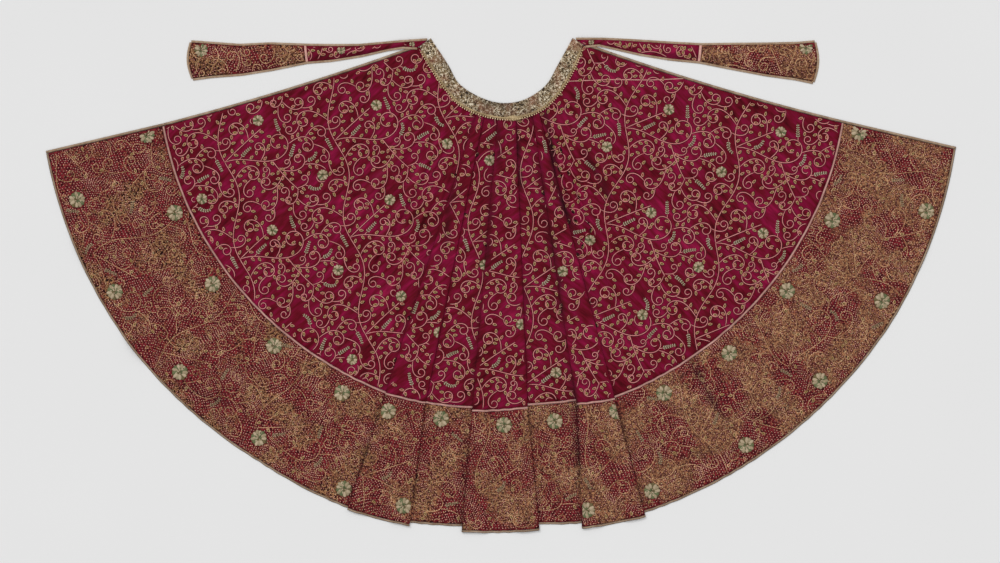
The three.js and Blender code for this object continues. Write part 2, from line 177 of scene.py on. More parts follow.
# ---- Curves of the neck -------------------------------------------------------------------------
class NeckCurve:
    """A centripetal spline through points given from the apex, read by share of its length."""

    def __init__(self, points: Sequence[tuple[float, float]], steps: int = 40) -> None:
        """Samples the spline through the points.

        Args:
            points: Its points in plan, from the apex.
            steps: Samples between two of them.
        """
        p = np.array(points) + (0, APEX_Y)
        p = np.vstack([2 * p[0] - p[1], p, 2 * p[-1] - p[-2]])
        shares = np.linspace(0, 1, steps, endpoint=False)
        samples = [self._span(p[i : i + 4], shares) for i in range(len(p) - 3)]
        self.points = np.vstack([*samples, p[-2]])
        lengths = np.linalg.norm(np.diff(self.points, axis=0), axis=1)
        self.shares = np.concatenate([[0], np.cumsum(lengths)]) / lengths.sum()

    @staticmethod
    def _span(p: Array, t: Array) -> Array:
        """Points between the middle two of four, at shares t.

        Args:
            p: Four points in plan.
            t: Shares of the way from the second to the third.

        Returns:
            A point in plan for each share.
        """
        d = np.sqrt(np.linalg.norm(np.diff(p, axis=0), axis=1))
        first = (p[1] - p[0]) / d[0] - (p[2] - p[0]) / (d[0] + d[1]) + (p[2] - p[1]) / d[1]
        last = (p[2] - p[1]) / d[1] - (p[3] - p[1]) / (d[1] + d[2]) + (p[3] - p[2]) / d[2]
        first, last, t = first * d[1], last * d[1], t[:, None]
        bend = -3 * p[1] + 3 * p[2] - 2 * first - last
        return p[1] + first * t + bend * t**2 + (2 * p[1] - 2 * p[2] + first + last) * t**3

    def at(self, share: Array | float) -> Array:
        """Points at shares of the curve's length."""
        return np.stack([np.interp(share, self.shares, self.points[:, k]) for k in (0, 1)], axis=-1)


NECK_OPENING = NeckCurve(
    [(-162, 50), (-123.5, -8.4), (-93.5, -57.4), (-17.5, -96.4), (45, -94.4), (101.5, -59.9), (133.5, -6.9),
     (165, 50.6)]
)
NECK_SEAM = NeckCurve(
    [(-188, 30.2), (-162, -15.4), (-134, -57.4), (-88, -106.9), (9, -135.4), (88, -117.4), (133.5, -75.4),
     (168.5, -17.4), (189, 34.6)]
)

# ---- The cut: neck share, seam angle and radius, hem angle and radius, bow of the front edge ----
LINES = {
    "leftFront": (0, -78.9, 793, -78.35, 1065, 8),
    "leftSide": (0.17, -52, 799, -52, 1075, 0),
    "leftBack": (0.3, -31, 805, -31, 1076, 0),
    "leftEnd": (0.385, -19, 811, -18.8, 1087, 0),
    "pleat1Left": (0.385, -19, 813, -18.8, 1091, 0),
    "pleat1Right": (0.412, -12.5, 809, -11.2, 1090, 0),
    "gap1Left": (0.412, -12.5, 808, -11.2, 1082, 0),
    "gap1Right": (0.478, -4.6, 803, -4.7, 1073, 0),
    "pleat2Left": (0.478, -4.6, 811, -4.7, 1087, 0),
    "pleat2Right": (0.548, 4.3, 803, 4.6, 1083, 0),
    "gap2Left": (0.548, 4.3, 796, 4.6, 1069, 0),
    "gap2Right": (0.627, 12.5, 802, 9.9, 1079, 0),
    "pleat3Left": (0.627, 12.5, 812, 9.9, 1092, 0),
    "pleat3Right": (0.65, 18.5, 824, 17.5, 1100, 0),
    "rightStart": (0.65, 18.5, 820, 17.5, 1090, 0),
    "rightBack": (0.74, 34, 813, 34, 1086, 0),
    "rightSide": (0.87, 56, 807, 56, 1080, 0),
    "rightFront": (1, 79.5, 801, 78.85, 1063, 9),
}
EDGE_REACHES = (0, 0.25, 0.5, 0.75, 1, 1.17, 1.4)  # enough to draw a pleat's edge, from neck to past the hem
PLEAT_EDGES = ("pleat1Left", "pleat1Right", "pleat2Left", "pleat2Right", "pleat3Left", "pleat3Right")


@dataclass(frozen=True)
class Panel:
    """A stretch of the cape between two fold edges."""

    lines: tuple[str, ...]
    columns: int
    grain: float
    pleat: bool = False


PANELS = (
    Panel(("leftFront", "leftSide", "leftBack", "leftEnd"), 150, 9),
    Panel(("pleat1Left", "pleat1Right"), 22, 5, pleat=True),
    Panel(("gap1Left", "gap1Right"), 18, 2),
    Panel(("pleat2Left", "pleat2Right"), 26, 0, pleat=True),
    Panel(("gap2Left", "gap2Right"), 18, 0),
    Panel(("pleat3Left", "pleat3Right"), 22, -5, pleat=True),
    Panel(("rightStart", "rightBack", "rightSide", "rightFront"), 150, -12),
)


@dataclass(frozen=True)
class Crease:
    """A soft ridge (or a trough, where its height is below 0) that runs down a flat panel."""

    panel: int
    across: float
    half: float
    height: float
    start: float
    peak: float
    end: float

    def rise(self, share: Array, reach: float) -> Array:
        """Heights at shares across the panel, at a reach.

        Args:
            share: Shares across the panel.
            reach: The share of the way from neck to seam.

        Returns:
            A height for each share.
        """
        if not self.start < reach < self.end:
            return np.zeros_like(share)
        up = (reach - self.start) / (self.peak - self.start)
        down = (self.end - reach) / (self.end - self.peak)
        near = np.clip(1 - np.abs(share - self.across) / self.half, 0, 1)
        return self.height * smooth(min(up, down)) * smooth(near)


def creased(creases: Sequence[Crease], share: float, reach: float) -> float:
    """The height of some creases at a share across their panel, and a reach."""
    return sum(float(crease.rise(np.float64(share), reach)) for crease in creases)


# panel, place across it, half width as a share of it, height, and reaches where it starts, peaks and ends
CREASES = tuple(
    Crease(*row)
    for row in (
        (0, 0.16, 0.045, 5, 0.75, 1.1, 1.5),
        (0, 0.34, 0.045, 8, 0.55, 1.25, 1.9),
        (0, 0.5, 0.04, 6, 0.05, 0.35, 0.95),
        (0, 0.66, 0.04, 8, 0.03, 0.4, 1.1),
        (0, 0.84, 0.04, 9, 0.05, 0.55, 1.5),
        (6, 0.09, 0.04, 11, 0.02, 0.4, 1.15),
        (6, 0.22, 0.04, 8, 0.05, 0.45, 1.25),
        (6, 0.38, 0.045, 7, 0.2, 0.7, 1.4),
        (6, 0.58, 0.045, 6, 0.1, 0.6, 1.2),
        (6, 0.8, 0.045, 7, 0.45, 0.85, 1.5),
        # finer ones that only the cloth shows
        (0, 0.09, 0.018, 1.6, 0.2, 0.5, 0.9),
        (0, 0.27, 0.016, 1.8, 0.1, 0.3, 0.7),
        (0, 0.43, 0.02, 2.2, 0.5, 0.9, 1.3),
        (0, 0.58, 0.016, 2.0, 0.0, 0.2, 0.6),
        (0, 0.75, 0.018, 2.6, 0.0, 0.25, 0.8),
        (0, 0.92, 0.03, 3.0, 0.0, 0.3, 0.9),
        (2, 0.5, 0.28, 2.4, 0.0, 0.12, 0.5),
        (4, 0.35, 0.22, 3.0, 0.0, 0.15, 0.55),
        (4, 0.7, 0.18, 2.4, 0.1, 0.4, 0.9),
        (6, 0.03, 0.02, 3.4, 0.0, 0.2, 0.7),
        (6, 0.15, 0.018, 2.8, 0.0, 0.25, 0.8),
        (6, 0.3, 0.02, 2.6, 0.0, 0.3, 0.9),
        (6, 0.47, 0.018, 2.2, 0.3, 0.7, 1.2),
        (6, 0.68, 0.02, 2.0, 0.2, 0.5, 1.0),
        (6, 0.9, 0.02, 1.8, 0.5, 0.9, 1.3),
    )
)
TOP_REST = (0.225, 0.375)  # shares in from a pleat's edge where its top comes down
PLEAT_SETTLES = (12.0, 37.0)  # a pleat's half width where its middle stays up, and where it rests
TUCK_SHARE = 0.35  # how far an under-fold reaches in under its pleat
TURN_STEPS = 4
FOLD_CLEAR = 1.3  # millimetres between a cut-off motif and a fold
BORDER_SHADE = (760.0, 80.0)  # the radius where the folds' shade turns to the border's, and over how much
FAR = 2000.0  # past every edge


@dataclass(frozen=True)
class FoldShade:
    """Painted shade along a pleat's edge, where the pleat's step would shade the cloth: how strong on the
    body and the border, and how wide.
    """

    line: str
    body: float
    border: float
    beside: float
    upon: float


FOLD_SHADES = (
    FoldShade("pleat1Left", 0.3, 0.5, 11, 3),
    FoldShade("pleat1Right", 0.2, 0.24, 9, 3),
    FoldShade("pleat2Left", 0.34, 0.6, 14, 3),
    FoldShade("pleat2Right", 0.24, 0.3, 11, 3),
    FoldShade("pleat3Left", 0.6, 0.9, 13, 4),
    FoldShade("pleat3Right", 0.24, 0.5, 9, 3),
)


FADE_IN = 0.2  # the share of a soft fold's line over which it fades in
FADE_OUT = 0.25
FOLD_WAVE = (0.8, 0.2, 21)  # how dark a soft fold is on the whole, how much that wavers and how often
DARNED_CONTRAST = 0.62
DARNED_MIDDLE = 0.26
DARNED_DRIFT = 2300.0  # millimetres to the right over which the darning gets closer by a full share


def darned_share(plan: Array) -> Array:
    """How close the border is darned, in ragged patches.

    Args:
        plan: Points in plan.

    Returns:
        A share for each point, from 0, bare satin, to 1.
    """
    x, y = plan[:, 0], plan[:, 1]
    broad = wave(x, y, 31, 1.9, 43) + wave(y, x, 27, 1.7, 37, 0.8)
    ragged = wave(x, y, 13, 2.2, 17) * wave(y, x, 12, 1.6, 19)
    return smooth(DARNED_CONTRAST * (broad + ragged) + DARNED_MIDDLE + x / DARNED_DRIFT)


@dataclass(frozen=True)
class SoftFoldShade:
    """Painted shade along a soft fold that wanders over the cloth, which is not raised for it: its line, its
    half width and how strong the shade is.
    """

    half: float
    strength: float
    points: tuple[tuple[float, float], ...]

    def shade(self, plan: Array) -> Array:
        """How dark it is at points in plan; it fades in and out along its line.

        Args:
            plan: Points in plan.

        Returns:
            How dark each point is, from 0 to 1.
        """
        line = np.array(self.points, float)
        shares = np.linspace(0, 1, len(line))
        away, along = np.full(len(plan), np.inf), np.zeros(len(plan))
        for a, b, low, high in zip(line, line[1:], shares, shares[1:]):
            t = np.clip((plan - a) @ (b - a) / ((b - a) @ (b - a)), 0, 1)
            gap = np.linalg.norm(plan - a - t[:, None] * (b - a), axis=1)
            along = np.where(gap < away, low + (high - low) * t, along)
            away = np.minimum(gap, away)
        steady, uneven, often = FOLD_WAVE
        fades = smooth(along / FADE_IN) * smooth((1 - along) / FADE_OUT)
        fades = fades * (steady + uneven * np.sin(often * along))
        return self.strength * fades * np.exp(-((away / self.half) ** 2))


# half width, strength and line of each soft fold's painted shade
SOFT_FOLD_SHADES = (
    SoftFoldShade(8, 0.85, ((99, 412), (104, 392), (115, 320), (127, 238), (143, 185), (168, 123), (191, 44))),
    SoftFoldShade(7, 0.7, ((36, 385), (39, 340), (40, 290), (46, 228), (44, 190))),
    SoftFoldShade(8, 0.65, ((113, 150), (134, 10), (138, -50), (150, -110))),
    SoftFoldShade(9, 0.55, ((-22, 240), (-24, 170), (-30, 90), (-39, -45))),
    SoftFoldShade(9, 0.5, ((-100, 260), (-113, 210), (-125, 130), (-127, 58))),
    SoftFoldShade(8, 0.5, ((-10, 400), (-7, 360), (-5, 300), (-14, 250))),
    SoftFoldShade(9, 0.5, ((186, 330), (212, 270), (240, 225), (268, 130))),
    SoftFoldShade(8, 0.4, ((52, 20), (57, -40), (52, -110))),
    SoftFoldShade(9, 0.5, ((-770, -215), (-735, -230), (-682, -255), (-629, -274), (-600, -280))),
    SoftFoldShade(10, 0.75, ((430, -165), (444, -181), (470, -232), (493, -278), (546, -344))),
    SoftFoldShade(13, 0.4, ((556, -304), (620, -302), (690, -264))),
    SoftFoldShade(9, 0.45, ((430, -396), (470, -386), (512, -370))),
)


def mixed(a: Array, b: Array, t: float) -> Array:
    """A line of the cut between two others."""
    return np.asarray(a, float) * (1 - t) + np.asarray(b, float) * t


def plan_row(lines: Array, reach: float, moved: float = 0.0) -> Array:
    """Points in plan on several lines of the cut.

    Args:
        lines: One row of the cut's table for each point.
        reach: How far down the ruling they lie.
        moved: Millimetres further down the border's line.

    Returns:
        One x, y for each line.
    """
    share, seam_angle, seam_radius, hem_angle, hem_radius, bow = lines.T
    seam = polar(seam_angle, seam_radius)
    hem = polar(hem_angle, hem_radius)
    if reach > SEAM_REACH:
        row = seam + (hem - seam) * (reach - SEAM_REACH) / (HEM_REACH - SEAM_REACH)
    else:
        neck = NECK_SEAM.at(share)
        raw = neck + unit(neck - seam) * BAND_TUCK
        row = raw + (seam - raw) * reach
        row[:, 1] -= bow * 4 * reach * (1 - reach)
    return row + unit(hem - seam) * moved


def ruling(name: str, reaches: Iterable[float]) -> Array:
    """The points of one line of the cut at several reaches."""
    line = np.array([LINES[name]], float)
    return np.vstack([plan_row(line, reach) for reach in reaches])


@dataclass(frozen=True)
class Column:
    """A line down the cloth: its place in the cut, its panel and its height at each reach."""

    line: Array
    panel: int
    height: Callable[[float], float]
    push: float = 0.0


class CapeForm:
    """The cape's laid form: flat panels with soft creases, and box pleats with their under-folds."""

    def __init__(self) -> None:
        """Lists the columns from the left front to the right front."""
        self.columns: list[Column] = []
        for number, panel in enumerate(PANELS):
            if panel.pleat:
                self._pleat(number, panel)
            else:
                self._flat(number, panel)
        self.lines = np.array([c.line for c in self.columns])
        self.push = np.array([c.push for c in self.columns])
        self.edges = [ruling(name, EDGE_REACHES) for name in PLEAT_EDGES]

    def _flat(self, number: int, panel: Panel) -> None:
        """Adds a flat panel's columns.

        Args:
            number: The panel's number.
            panel: The panel.
        """
        spans = len(panel.lines) - 1
        creases = [c for c in CREASES if c.panel == number]
        for share in np.linspace(0, 1, panel.columns + 1):
            at = min(spans - 1, int(share * spans))
            line = mixed(LINES[panel.lines[at]], LINES[panel.lines[at + 1]], share * spans - at)
            self.columns.append(Column(line, number, partial(creased, creases, share)))

    def _pleat(self, number: int, panel: Panel) -> None:
        """Adds a pleat's columns, with an under-fold on each side.

        Args:
            number: The panel's number.
            panel: The panel.
        """
        left, right = (np.array(LINES[name], float) for name in panel.lines)
        middle = mixed(left, right, 0.5)
        before = np.array(LINES[PANELS[number - 1].lines[-1]], float)
        after = np.array(LINES[PANELS[number + 1].lines[0]], float)
        self.columns += self._under(number, before, left, middle, 1)
        ends = np.array([left, right])
        for share in np.linspace(0, 1, panel.columns + 1)[1:-1]:
            depth = 0.5 - abs(share - 0.5)
            rest = smooth((depth - TOP_REST[0]) / (TOP_REST[1] - TOP_REST[0]))

            def top(reach: float, rest: float = rest, ends: Array = ends) -> float:
                """The height of the pleat's top, whose middle rests where the pleat is wide."""
                a, b = plan_row(ends, reach)
                narrow, wide = PLEAT_SETTLES
                settled = smooth((np.linalg.norm(b - a) / 2 - narrow) / (wide - narrow))
                return 2 * LAYER * (1 - settled * rest)

            self.columns.append(Column(mixed(left, right, share), number, top))
        self.columns += self._under(number, after, right, middle, -1)[::-1]

    @staticmethod
    def _under(number: int, neighbour: Array, edge: Array, middle: Array, way: int) -> list[Column]:
        """The two rounded turns of an under-fold, from the neighbouring panel to the pleat's edge.

        Args:
            number: The pleat's number.
            neighbour: The neighbouring panel's last line.
            edge: The pleat's edge.
            middle: The pleat's middle line.
            way: 1 on the pleat's left and -1 on its right.

        Returns:
            The columns, from the neighbour to the edge.
        """
        inner = mixed(mixed(neighbour, edge, 0.5), middle, TUCK_SHARE)
        for k in (2, 4):
            inner[k] = (neighbour[k] + edge[k]) / 2
        columns = []
        for line, base, side in ((inner, 0, way), (edge, 1, -way)):
            for step in range(TURN_STEPS + 1):
                angle = math.pi * step / TURN_STEPS
                level = LAYER * (base + (1 - math.cos(angle)) / 2)
                push = side * LAYER / 2 * math.sin(angle)
                columns.append(Column(line, number, lambda reach, z=level: z, push))
        return columns

    def row(self, reach: float, moved: float = 0.0) -> Array:
        """The middle of the cloth along one row, as x, y, z.

        Args:
            reach: The share of the way from neck to seam.
            moved: How far the row is moved along the cloth.

        Returns:
            A point for each column.
        """
        plan = plan_row(self.lines, reach, moved)
        across = unit(np.stack([APEX_Y - plan[:, 1], plan[:, 0]], axis=-1))
        plan = plan + across * self.push[:, None]
        heights = [CLOTH / 2 + c.height(reach) for c in self.columns]
        return np.column_stack([plan, heights])

    def panel_of(self, plan: Array) -> Array:
        """Which panel shows at each point in plan.

        Args:
            plan: Points in plan.

        Returns:
            A panel's number for each point.
        """
        count = np.zeros(len(plan), int)
        for edge in self.edges:
            x = np.interp(-plan[:, 1], -edge[:, 1], edge[:, 0])
            count += plan[:, 0] > x
        return count

    def shade(self, plan: Array) -> Array:
        """How much painted shade the cloth has along its soft folds and beside the pleats' edges, from 0 to
        1.

        Args:
            plan: Points in plan.

        Returns:
            How dark each point is.
        """
        dark = np.max([fold.shade(plan) for fold in SOFT_FOLD_SHADES], axis=0)
        start, length = BORDER_SHADE
        lower = smooth((np.hypot(plan[:, 0], APEX_Y - plan[:, 1]) - start) / length)
        # painted shade beside each pleat's edge, where its step would shade the cloth
        for number, fold in enumerate(FOLD_SHADES):
            fades = 0.6 + 0.4 * np.sin(plan[:, 1] / 37 + 2.1 * number) * np.sin(plan[:, 1] / 83 + number)
            strength = (fold.body + (fold.border - fold.body) * lower) * fades
            edge = self.edges[PLEAT_EDGES.index(fold.line)]
            away = plan[:, 0] - np.interp(-plan[:, 1], -edge[:, 1], edge[:, 0])
            if fold.line.endswith("Right"):
                away = -away
            width = np.where(away < 0, fold.beside, fold.upon)
            dark = np.maximum(dark, strength * np.exp(-((away / width) ** 2)))
        return dark

    def held(self, plan: Array, panel: int) -> Array:
        """Points in plan, held between the edges of a panel as a fold cuts a motif off.

        Args:
            plan: Points in plan.
            panel: The panel's number.

        Returns:
            The points, none of them past a fold.
        """
        low, high = np.full(len(plan), -FAR), np.full(len(plan), FAR)
        for number, edge in enumerate(self.edges):
            x = np.interp(-plan[:, 1], -edge[:, 1], edge[:, 0])
            if number < panel:
                low = x + FOLD_CLEAR
            elif number == panel:
                high = x - FOLD_CLEAR
        return np.column_stack([np.clip(plan[:, 0], low, high), plan[:, 1]])


# ---- Meshes from grids and arrays ----------------------------------------------------------------
class Slot(Enum):
    """The record's material slots."""

    SATIN = "crimson_satin"
    BORDER = "border_brocade"
    PIPING = "pink_piping"
    EDGE = "edge_binding"
    NECK = "neck_brocade"
    GOLD = "gold_thread"


def finish_piece(name: str, mesh: Mesh, finishes: Sequence[Material], slot: Slot, node: str = "") -> Piece:
    """Makes a mesh a piece of the cape.

    Args:
        name: The piece's name.
        mesh: Its mesh, in metres.
        finishes: Its materials.
        slot: The record's slot that its finish belongs to; not used.
        node: The frame's solid that it stands for, if any.

    Returns:
        The piece.
    """
    for finish in finishes:
        mesh.materials.append(finish)
    piece = bpy.data.objects.new(name, mesh)
    bpy.context.scene.collection.objects.link(piece)
    mesh.polygons.foreach_set("use_smooth", np.ones(len(mesh.polygons), bool))
    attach(piece, "root")
    if node:
        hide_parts(node)
    LOG.info("%s: %d faces", name, len(mesh.polygons))
    return piece


def set_attribute(mesh: Mesh, name: str, values: Array) -> None:
    """Gives each vertex a value that materials read."""
    mesh.attributes.new(name, "FLOAT", "POINT").data.foreach_set("value", values.astype(np.float32))


def grid_mesh(name: str, points: Array, cloth: Array | None = None, shade: Array | None = None) -> Mesh:
    """A sheet of faces through rows of points.

    Args:
        name: The mesh's name.
        points: Rows of x, y, z in millimetres.
        cloth: The flat place of each point in millimetres, for patterns; its x, y where left out.
        shade: How dark each point is.

    Returns:
        The mesh, facing up, with a UV map in metres.
    """
    rows, columns = points.shape[:2]
    bm = bmesh.new()
    bm.loops.layers.uv.new("cloth")
    bmesh.ops.create_grid(bm, x_segments=columns - 1, y_segments=rows - 1, size=1)
    mesh = bpy.data.meshes.new(name)
    bm.to_mesh(mesh)
    bm.free()
    flat = points.reshape(-1, 3)
    mesh.vertices.foreach_set("co", (flat * MM).astype(np.float32).ravel())
    place = flat[:, :2] if cloth is None else cloth.reshape(-1, 2)
    corners = np.empty(len(mesh.loops), np.int32)
    mesh.loops.foreach_get("vertex_index", corners)
    mesh.uv_layers["cloth"].data.foreach_set("uv", (place[corners] * MM).astype(np.float32).ravel())
    set_attribute(mesh, "shade", np.zeros(len(flat)) if shade is None else shade.ravel())
    set_attribute(mesh, "darned", darned_share(flat[:, :2]))
    mesh.update()
    if sum(p.normal.z * p.area for p in mesh.polygons) < 0:
        mesh.flip_normals()
    return mesh


def sheet_piece(
    name: str,
    points: Array,
    finish: Material,
    slot: Slot,
    node: str,
    thickness: float = CLOTH,
    cloth: Array | None = None,
    shade: Array | None = None,
) -> Piece:
    """Makes a sheet or a strip of cloth through rows of points, with half its thickness on each side.

    Args:
        name: The piece's name.
        points: Rows of x, y, z in millimetres.
        finish: Its material.
        slot: The record's slot.
        node: The frame's solid that it stands for.
        thickness: How thick it is.
        cloth: The flat place of each point.
        shade: How dark each point is.

    Returns:
        The piece.
    """
    piece = finish_piece(name, grid_mesh(name, points, cloth, shade), [finish], slot, node)
    wall = piece.modifiers.new("cloth_thickness", "SOLIDIFY")
    wall.thickness = thickness * MM
    wall.offset = 0.0
    wall.use_even_offset = True
    return piece


class Ground:
    """The cloth that stitches lie on: finds its top under any point in plan."""

    def __init__(self, mesh: Mesh, panel_of: Callable[[Array], Array] | None = None) -> None:
        """Reads the cloth's middle surface.

        Args:
            mesh: The cloth before its thickness.
            panel_of: Tells which panel shows; all is one panel where left out.
        """
        bm = bmesh.new()
        bm.from_mesh(mesh)
        self.tree = BVHTree.FromBMesh(bm)
        bm.free()
        self.panel_of = panel_of or (lambda plan: np.zeros(len(plan), int))

    def top(self, plan: Array) -> Array:
        """The height of the cloth's face under points in plan, or nan beside the cloth.

        Args:
            plan: Points in plan.

        Returns:
            A height in millimetres for each point.
        """
        down = Vector((0, 0, -1))
        cast = self.tree.ray_cast
        hits = [cast(Vector((x, y, 1.0)), down)[0] for x, y in plan * MM]
        return np.array([math.nan if h is None else h.z / MM + CLOTH / 2 for h in hits])

    def clear(self, plan: Array, margin: float, panel: int) -> Array:
        """Whether points lie on a panel with a margin all round.

        Args:
            plan: Points in plan.
            margin: The margin.
            panel: The panel's number.

        Returns:
            True or False for each point.
        """
        good = np.ones(len(plan), bool)
        shifts = ((0, 0), (margin, 0), (-margin, 0), (0, margin), (0, -margin))
        for shift in shifts:
            good &= self.panel_of(plan + shift) == panel
        for shift in shifts:
            if good.any():
                good[good] = ~np.isnan(self.top(plan[good] + shift))
        return good


@dataclass(frozen=True)
class Stamp:
    """A small closed motif that is repeated: its points, triangles and finishes."""

    points: Array
    triangles: Array
    finish: Array

    @staticmethod
    def of(bm: bmesh.types.BMesh) -> "Stamp":
        """Takes the shape out of a bmesh, and frees it.

        Args:
            bm: The shape.

        Returns:
            The stamp.
        """
        bmesh.ops.recalc_face_normals(bm, faces=bm.faces)
        bmesh.ops.triangulate(bm, faces=bm.faces)
        bm.verts.index_update()
        points = np.array([v.co for v in bm.verts])
        triangles = np.array([[v.index for v in f.verts] for f in bm.faces])
        finish = np.array([f.material_index for f in bm.faces])
        bm.free()
        return Stamp(points, triangles, finish)

    @staticmethod
    def joined(stamps: Sequence["Stamp"]) -> "Stamp":
        """Several stamps as one.

        Args:
            stamps: The stamps.

        Returns:
            One stamp that holds them all.
        """
        starts = np.cumsum([0] + [len(s.points) for s in stamps[:-1]])
        return Stamp(
            np.vstack([s.points for s in stamps]),
            np.vstack([s.triangles + n for s, n in zip(stamps, starts)]),
            np.concatenate([s.finish for s in stamps]),
        )

    def ordered(self) -> "Stamp":
        """Puts the points and triangles in a fixed order, as a sphere's come in another one each run.

        Returns:
            The same shape.
        """
        places = np.lexsort(np.round(self.points, 5).T)
        triangles = np.argsort(places)[self.triangles]
        first = triangles.argmin(axis=1)[:, None]
        triangles = np.take_along_axis(triangles, (first + np.arange(3)) % 3, axis=1)
        rows = np.lexsort(triangles.T)
        return Stamp(self.points[places], triangles[rows], self.finish[rows])

    def placed(self, at: Array, degrees: float, lift: float = 0.0) -> "Stamp":
        """The stamp turned and moved in plan."""
        points = np.column_stack([turned(self.points[:, :2], degrees) + at, self.points[:, 2] + lift])
        return Stamp(points, self.triangles, self.finish)


def cone(sides: int, base: float, top: float, depth: float, finish: int) -> bmesh.types.BMesh:
    """A cone or a cut-off cone of one finish, centred on the origin.

    Args:
        sides: How many sides it has.
        base: The radius of its foot.
        top: The radius of its top.
        depth: Its height.
        finish: The number of its finish.

    Returns:
        The shape.
    """
    bm = bmesh.new()
    bmesh.ops.create_cone(
        bm, cap_ends=True, cap_tris=False, segments=sides, radius1=base, radius2=top, depth=depth
    )
    for face in bm.faces:
        face.material_index = finish
    return bm


def pad_stamp(
    length: float, width: float, rise: float, sides: int, finish: int, inner: float = 0.45
) -> Stamp:
    """A raised pad of satin stitch with sloping sides.

    Args:
        length: How far it runs along +X from the origin.
        width: Its width.
        rise: Its height.
        sides: How many sides it has.
        finish: The number of its finish.
        inner: The share of its size that its top has.

    Returns:
        The pad.
    """
    bm = cone(sides, 1.0, inner, 1.0, finish)
    for v in bm.verts:
        v.co = Vector(((v.co.x + 1) * length / 2, v.co.y * width / 2, (v.co.z + 0.5) * rise))
    return Stamp.of(bm)


LEAF_RISE = 0.8
LEAF_SIDES = 6
LEAF_TOP = 0.86  # the share of its size that a leaf's top has
LEAF_RIM = 0.2  # how wide its outline is, as a share of half its size
LEAF_TAPER = (1.15, 0.42)  # a leaf's bulk in its middle, and how much it loses towards its tip
LEAF_SHADE = (1.6, 2.6)  # how much longer and wider the painted shadow below a leaf is
LEAF_SHADE_PAD = (0.3, 0.8)  # the painted shadow's rise, and the share of its size on top
LEAF_SHADE_PLACE = np.array([-0.6, -0.7])  # how far the painted shadow is moved, so that it shows below and behind the leaf


def leaf_stamp(length: float, width: float, rim: int, fill: int, foot: int) -> Stamp:
    """A pointed leaf with a raised outline and a filled middle, over a wider dark pad that is its painted
    shadow.

    Args:
        length: How far it runs along +X from the origin.
        width: Its width.
        rim: The number of its outline's finish.
        fill: The number of its middle's finish.
        foot: The number of the finish of its painted shadow.

    Returns:
        The leaf.
    """
    bm = cone(LEAF_SIDES, 1.0, LEAF_TOP, 1.0, rim)
    top = max(bm.faces, key=lambda f: f.calc_center_median().z)
    bmesh.ops.inset_individual(bm, faces=[top], thickness=LEAF_RIM)
    top.material_index = fill
    for v in bm.verts:
        bulk = LEAF_TAPER[0] - LEAF_TAPER[1] * v.co.x
        v.co = Vector(((v.co.x + 1) * length / 2, v.co.y * bulk * width / 2, (v.co.z + 0.5) * LEAF_RISE))
    longer, wider = LEAF_SHADE
    rise, inner = LEAF_SHADE_PAD
    # the painted shadow: a dark pad below the leaf, moved down and back
    under = pad_stamp(length + longer, width + wider, rise, LEAF_SIDES, foot, inner)
    return Stamp.joined([Stamp.of(bm), under.placed(LEAF_SHADE_PLACE, 0)])


def lens_stamp(radius: float, rise: float, finish: int) -> Stamp:
    """A low round pad that follows the cloth, centred on the origin.

    Args:
        radius: Its radius.
        rise: Its height.
        finish: The number of its finish.

    Returns:
        The pad.
    """
    bm = bmesh.new()
    bmesh.ops.create_uvsphere(bm, u_segments=14, v_segments=8, radius=1.0)
    for face in bm.faces:
        face.material_index = finish
    for v in bm.verts:
        v.co = Vector((v.co.x * radius, v.co.y * radius, (v.co.z + 1) * rise / 2))
    return Stamp.of(bm).ordered()


def point_stamp(
    radius: float, rise: float, sides: int, finish: int, lift: float = 0.0, drawn: float = 1.0
) -> Stamp:
    """A small faceted point, centred on the origin.

    Args:
        radius: Its radius.
        rise: Its height.
        sides: How many sides it has.
        finish: The number of its finish.
        lift: How far its foot is over the cloth.
        drawn: How far it is drawn out along X.

    Returns:
        The point.
    """
    bm = cone(sides, radius, 0.0, rise, finish)
    bmesh.ops.translate(bm, verts=bm.verts, vec=(0, 0, rise / 2 + lift))
    bmesh.ops.scale(bm, verts=bm.verts, vec=(drawn, 1, 1))
    return Stamp.of(bm)


